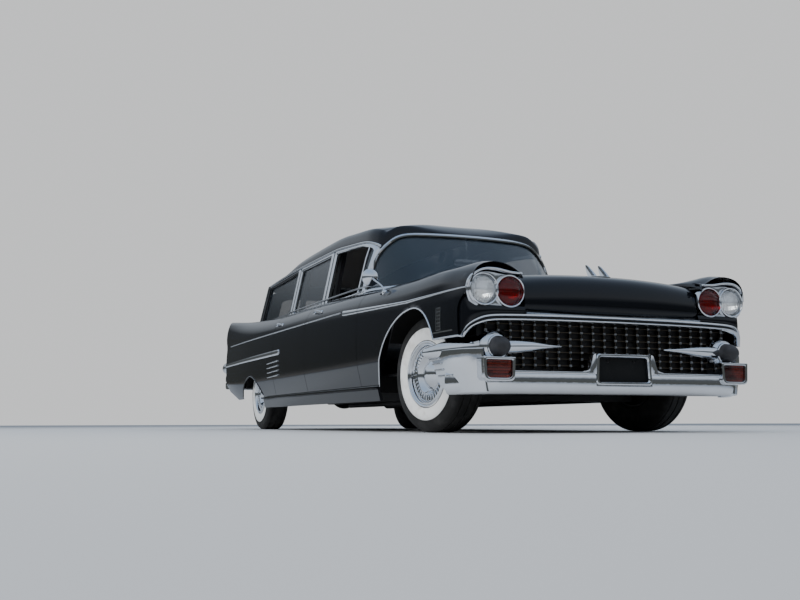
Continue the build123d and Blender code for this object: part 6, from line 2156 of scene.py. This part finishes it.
class Lattice(Pattern):
    """Rows and columns of a cell, centred on the origin."""

    kind = "lattice"
    inputs = {"Columns": "NodeSocketInt", "Rows": "NodeSocketInt", "Pitch": "NodeSocketVector"}

    def points(self) -> dict[str, Signal]:
        """Points from their number: column along X, row along Y and Z."""
        columns, rows = self.given("Columns"), self.given("Rows")
        along = self.centred(self.index() % columns, columns)
        across = self.centred((self.index() / columns).math("FLOOR"), rows)
        place = self.node("ShaderNodeCombineXYZ", {}, {"X": along, "Y": across, "Z": across})
        where = self.node("ShaderNodeVectorMath", {"operation": "MULTIPLY"},
                          {0: place, 1: self.given("Pitch")})
        return {"Points": self.node("GeometryNodePoints", {}, {"Count": columns * rows, "Position": where})}

    @staticmethod
    def centred(number: Signal, total: Signal) -> Signal:
        """Number less half of one less than the total."""
        return number + 0.5 - total * 0.5


class Ring(Pattern):
    """Copies of a cell turned about the X axis."""

    kind = "ring"
    inputs = {"Count": "NodeSocketInt"}

    def points(self) -> dict[str, Signal]:
        """Points at the origin, each turned by its share of a full turn."""
        angle = self.index() / self.given("Count") * (2 * math.pi)
        return {"Points": self.node("GeometryNodePoints", {}, {"Count": self.given("Count")}),
                "Rotation": self.node("ShaderNodeCombineXYZ", {}, {"X": angle})}


class CadSurfaces:
    """Procedural finishes for the CAD nodes that stay visible."""

    finishes = {
        "chassis_frame": Look.frame, "floor_pan": Look.inner_paint, "body_posts": Look.inner_paint,
        "radiator": Look.iron, "engine": Look.iron, "front_suspension": Look.frame, "rear_axle": Look.frame,
        "exhaust": Look.iron, "knuckle_left": Look.iron, "knuckle_right": Look.iron,
        "steering_column": Look.trim,
    }

    def build(self) -> None:
        """Give each carried-over node its finish."""
        for node, finish in self.finishes.items():
            piece = bpy.data.objects.get(node)
            if piece is None:
                LOG.warning("%s isn't in the scene", node)
                continue
            for slot in piece.material_slots:
                slot.material = finish.material()


@dataclass
class Studio:
    """Camera as in the picture, pale floor, soft lights and a sky for the bright parts."""

    place: tuple = (-3.318, -5.491, 0.060)
    yaw: float = 22.66
    pitch: float = 7.22
    roll: float = -0.13
    focal_pixels: float = 969.7
    width: int = 800
    floor_half: float = 28.0
    sky_stops: tuple = ((0.0, (0.20, 0.20, 0.20)), (0.498, (0.30, 0.30, 0.30)), (0.503, (0.08, 0.085, 0.08)),
                        (0.60, (0.09, 0.10, 0.11)), (0.66, (0.62, 0.68, 0.76)), (0.80, (0.50, 0.60, 0.74)),
                        (1.0, (0.36, 0.48, 0.68)))

    def build(self) -> None:
        """Set up the camera, the floor, the lights and the world."""
        self.camera()
        self.floor()
        self.lights()
        self.sky()

    def camera(self) -> None:
        """Camera from the fit of the picture."""
        yaw, pitch = math.radians(self.yaw), math.radians(self.pitch)
        ahead = Vector((math.sin(yaw) * math.cos(pitch), math.cos(yaw) * math.cos(pitch), math.sin(pitch)))
        right = Vector((math.cos(yaw), -math.sin(yaw), 0))
        up = right.cross(ahead)
        turn = Matrix((right, up, -ahead)).transposed().to_4x4()
        data = bpy.data.cameras.new("picture_camera")
        data.sensor_width = 36
        data.lens = self.focal_pixels / self.width * data.sensor_width
        data.clip_start, data.clip_end = 0.05, 200
        camera = bpy.data.objects.new("picture_camera", data)
        x, y, z = self.place
        camera.matrix_world = (Matrix.Translation((x, y - MID_Y, z)) @ turn
                               @ Matrix.Rotation(math.radians(self.roll), 4, "Z"))
        bpy.context.scene.collection.objects.link(camera)
        bpy.context.scene.camera = camera

    def floor(self) -> None:
        """Wide pale floor."""
        mesh, half = bpy.data.meshes.new("studio_floor"), self.floor_half
        mesh.from_pydata([(-half, -half, 0), (half, -half, 0), (half, half, 0), (-half, half, 0)], [],
                         [(0, 1, 2, 3)])
        floor = bpy.data.objects.new("studio_floor", mesh)
        bpy.context.scene.collection.objects.link(floor)
        shader = Shader("studio_floor")
        shader.set(Base_Color=(0.43, 0.43, 0.43), Roughness=0.9)
        mesh.materials.append(shader.material)

    def lights(self) -> None:
        """Large soft lights: overhead, from the camera's left and from behind."""
        table = (
            ("key", (-5.5, -7.0, 6.5), (0, -1.0, 0.5), (6.0, 4.0), 620, (1.0, 0.98, 0.95)),
            ("top", (0.5, 0.0, 7.5), (0, 0, 0.5), (7.0, 9.0), 520, (0.86, 0.93, 1.0)),
            ("side", (-9.0, 2.5, 3.0), (0, 0.5, 0.6), (8.0, 2.4), 320, (0.92, 0.96, 1.0)),
            ("back", (6.0, 7.5, 5.0), (0, 1.0, 0.8), (6.0, 4.0), 420, (1.0, 1.0, 1.0)),
        )
        for name, place, aim, size, power, colour in table:
            data = bpy.data.lights.new(f"{name}_light", "AREA")
            data.shape, data.size, data.size_y = "RECTANGLE", *size
            data.energy, data.color = power, colour
            light = bpy.data.objects.new(f"{name}_light", data)
            light.location = place
            light.rotation_euler = (Vector(aim) - Vector(place)).to_track_quat("-Z", "Y").to_euler()
            bpy.context.scene.collection.objects.link(light)
            light.visible_glossy = False

    def sky(self) -> None:
        """Pale backdrop for the camera; ground, a dark horizon and a slate sky for reflections."""
        world = bpy.data.worlds.new("studio_sky")
        bpy.context.scene.world = world
        world.use_nodes = True
        world.node_tree.nodes.clear()
        tree = Tree(world.node_tree)
        where = tree.node("ShaderNodeTexCoord", {}, {}, "Generated")
        height = tree.node("ShaderNodeSeparateXYZ", {}, {0: where}, "Z")
        share = tree.node("ShaderNodeMapRange", {}, {"Value": height, "From Min": -1})
        colour = tree.node("ShaderNodeValToRGB", {"stops": self.sky_stops}, {"Fac": share})
        around, seen = (tree.node("ShaderNodeBackground", {}, {0: c}) for c in (colour, (0.80, 0.81, 0.82)))
        eye, glass = (tree.node("ShaderNodeLightPath", {}, {}, f"Is {ray} Ray")
                      for ray in ("Camera", "Transmission"))
        through = eye.math("MAXIMUM", glass)
        tree.end("ShaderNodeOutputWorld", tree.node("ShaderNodeMixShader", {},
                                                    {0: through, 1: around, 2: seen}))


PANELS = BodyPanels()
WINDSCREEN = Windscreen()
LATTICE = Lattice()
RING = Ring()


def build_scene() -> None:
    """Build the car, piece by piece, and its setting."""
    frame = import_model()
    others = (Cowl, Hood, FrontBumper, Grille, HeadLamps, Molding, Mirrors, RoadWheel, Tail, Cabin, LoadSpace,
              CadSurfaces, Studio)
    for part in (PANELS, Roof(), GLAZING, WINDSCREEN, *[kind() for kind in others]):
        part.build()
        LOG.info("%s is built", type(part).__name__)


if __name__ == "__main__":
    logging.basicConfig(level=logging.INFO, format="%(message)s")
    build_scene()
